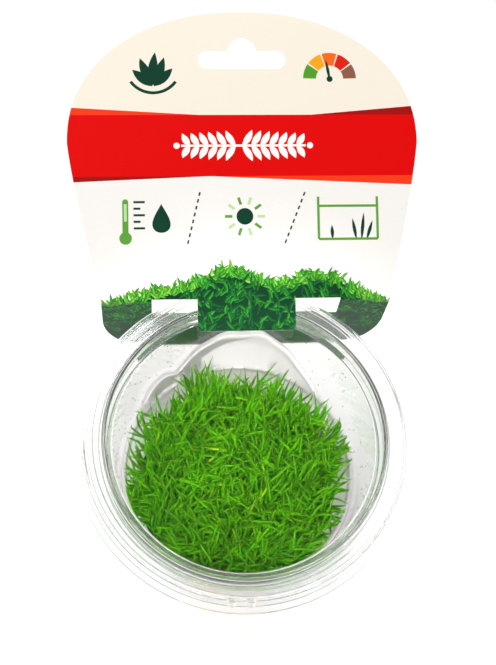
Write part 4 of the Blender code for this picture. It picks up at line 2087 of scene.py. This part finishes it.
@dataclass
class Moisture:
    """Small flat drops of condensed water on the inside of the cup's wall.

    Real drops start well under 0.1 mm and wouldn't show, so the smallest are left out.
    """

    cup: Cup
    finish: CondensedWater = CondensedWater()
    lowest: float = 12.0 * MM
    reach: float = 27.0 * MM
    rows: int = 6
    columns: int = 60
    clearance: float = 0.12 * MM
    per_square_metre: float = 42000.0
    smallest: float = 0.1 * MM
    largest: float = 0.42 * MM
    flatness: float = 0.35
    roundness: int = 2
    seed: int = 4
    size_seed: int = 5

    def patch(self) -> Mesh:
        """Band just inside the wall that the drops lie on.

        Returns:
            The band's mesh.
        """
        work = bmesh.new()
        heights = (self.lowest + self.reach * row / self.rows for row in range(self.rows + 1))
        join_rings(work, [add_ring(work, self.cup.inner(height) - self.clearance, height,
                                   self.columns) for height in heights])
        return plain_mesh(work, "wall_patch")

    def build(self) -> list[Object]:
        """Scatter the drops and settle them on the frame.

        Returns:
            The drops as one piece.
        """
        values = {"Density": self.per_square_metre, "Seed": self.seed}
        tree = self.group(self.finish.make())
        piece = new_piece("condensed_drops", grown("condensed_drops", self.patch(), tree, values))
        let_light_through(piece)
        return [settle(piece, "cup_plastic")]

    def group(self, material: Material) -> NodeTree:
        """Geometry group that scatters flattened drops on a surface.

        Args:
            material: finish set on the drops.

        Returns:
            The group, with inputs for density, sizes and seed.
        """
        tree, given = new_group("drops", {
            "Density": ('NodeSocketFloat', self.per_square_metre),
            "Smallest": ('NodeSocketFloat', self.smallest),
            "Largest": ('NodeSocketFloat', self.largest), "Seed": ('NodeSocketInt', self.seed)})
        scatter = add_node(tree, 'GeometryNodeDistributePointsOnFaces', {
            "Mesh": given.outputs["Geometry"], "Density": given.outputs["Density"],
            "Seed": given.outputs["Seed"]})
        bead = add_node(tree, 'GeometryNodeMeshIcoSphere', {
            "Radius": 1.0, "Subdivisions": self.roundness})
        size = add_node(tree, 'FunctionNodeRandomValue', {
            2: given.outputs["Smallest"], 3: given.outputs["Largest"], "Seed": self.size_seed})
        shape = add_node(tree, 'ShaderNodeCombineXYZ', {
            "X": size.outputs[1], "Y": size.outputs[1]})
        flat = add_node(tree, 'ShaderNodeMath', {
            0: size.outputs[1], 1: self.flatness}, operation='MULTIPLY')
        tree.links.new(flat.outputs[0], shape.inputs["Z"])
        planted = add_node(tree, 'GeometryNodeInstanceOnPoints', {
            "Points": scatter.outputs["Points"], "Instance": bead.outputs[0],
            "Rotation": scatter.outputs["Rotation"], "Scale": shape.outputs[0]})
        finish_group(tree, planted.outputs[0], material)
        return tree


# ---- stage


@dataclass(frozen=True)
class Lamp:
    """One square area light: its place, the side of its square, its watts and its beam."""

    name: str
    place: Triple
    size: float
    power: float
    spread: float = 180.0


@dataclass
class Studio:
    """White table, light tent, one softbox and two narrow spots, seen from above and in front.

    Places are in metres and angles in degrees, the roll of the camera in radians.
    """

    eye: Triple = (-0.031298, -0.121020, 0.461430)
    aim: Triple = (0.002150, 0.034460, 0.050000)
    roll: float = 0.18397
    focal_length: float = 50.38
    sensor_height: float = 24.0
    clip_start: float = 0.01
    table_colour: str = "#FDFCFB"
    table_radius: float = 2.5
    table_roughness: float = 0.6
    opening: Triple = (0.07, 0.31, 0.94)
    opening_angle: float = 16.0
    opening_blur: float = 9.0
    opening_colour: str = "#454548"
    tent_colour: str = WHITE
    tent_strength: float = 0.88
    lit_spot: Triple = (0.0, 0.012, 0.02)
    lamps: tuple[Lamp, ...] = (
        Lamp("key_softbox", (-0.35, 0.45, 0.95), 0.5, 5.0),
        Lamp("left_cup_spot", (-0.16, -0.38, 0.62), 0.06, 0.024, 8.0),
        Lamp("right_cup_spot", (0.26, -0.32, 0.62), 0.06, 0.024, 8.0),
    )

    def table(self) -> None:
        """Lay a large white table top under the object."""
        work = bmesh.new()
        bmesh.ops.create_circle(work, cap_ends=True, radius=self.table_radius, segments=96)
        material = principled("white_table", Base_Color=linear(self.table_colour),
                              Roughness=self.table_roughness)[0]
        new_piece("table_top", plain_mesh(work, "table_top"), material)

    def tent(self) -> None:
        """Set up the light tent.

        It is bright all round, with the dark opening overhead that the camera looks through.
        """
        world = bpy.data.worlds.new("light_tent")
        world.use_nodes = True
        tree = world.node_tree
        place = add_node(tree, 'ShaderNodeTexCoord')
        near = add_node(tree, 'ShaderNodeVectorMath', {
            0: place.outputs["Generated"], 1: tuple(Vector(self.opening).normalized())},
            operation='DOT_PRODUCT')
        inside = add_node(tree, 'ShaderNodeMapRange', {
            "Value": near.outputs["Value"],
            "From Min": math.cos(math.radians(self.opening_angle + self.opening_blur)),
            "From Max": math.cos(math.radians(self.opening_angle))})
        colour = add_node(tree, 'ShaderNodeMix', {
            "Factor": inside.outputs["Result"], 6: linear(self.tent_colour),
            7: linear(self.opening_colour)}, data_type='RGBA')
        back = tree.nodes["Background"]
        tree.links.new(colour.outputs[2], back.inputs["Color"])
        back.inputs["Strength"].default_value = self.tent_strength
        bpy.context.scene.world = world

    def hang(self, lamp: Lamp) -> None:
        """Hang a square light that faces the object.

        Args:
            lamp: the light.
        """
        light = bpy.data.lights.new(lamp.name, 'AREA')
        light.spread = math.radians(lamp.spread)
        light.size = lamp.size
        light.energy = lamp.power
        holder = bpy.data.objects.new(lamp.name, light)
        holder.location = lamp.place
        view = Vector(self.lit_spot) - Vector(lamp.place)
        holder.rotation_euler = view.to_track_quat('-Z', 'Y').to_euler()
        bpy.context.scene.collection.objects.link(holder)

    def camera(self) -> None:
        """Set the camera at the viewing angle of the photograph."""
        lens = bpy.data.cameras.new("camera")
        lens.sensor_fit = 'VERTICAL'
        lens.sensor_height = self.sensor_height
        lens.lens = self.focal_length
        lens.clip_start = self.clip_start
        camera = bpy.data.objects.new("camera", lens)
        camera.location = self.eye
        view = Vector(self.aim) - Vector(self.eye)
        level = view.to_track_quat('-Z', 'Y').to_matrix().to_4x4()
        camera.rotation_euler = (level @ Matrix.Rotation(self.roll, 4, 'Z')).to_euler()
        bpy.context.scene.collection.objects.link(camera)
        bpy.context.scene.camera = camera

    def build(self) -> None:
        """Set up table, light and camera."""
        self.table()
        self.tent()
        for lamp in self.lamps:
            self.hang(lamp)
        self.camera()
        bpy.context.scene.view_settings.view_transform = 'Standard'


def report(piece: Object) -> None:
    """Log a finished piece and its size.

    Args:
        piece: the piece.
    """
    triangles = sum(len(face.vertices) - 2 for face in piece.data.polygons)
    log.info("%s: %d triangles", piece.name, triangles)


def main() -> None:
    """Build every sub-assembly in order, report its pieces and their sizes, and set up the studio.
    """
    logging.basicConfig(level=logging.INFO, format="%(name)s %(message)s")
    cup = Cup()
    for maker in (cup, Lid(), Gel(cup), LeafMat(), HangCard(), Label(cup), Moisture(cup)):
        for piece in maker.build():
            report(piece)
    Studio().build()


if __name__ == "__main__":
    main()
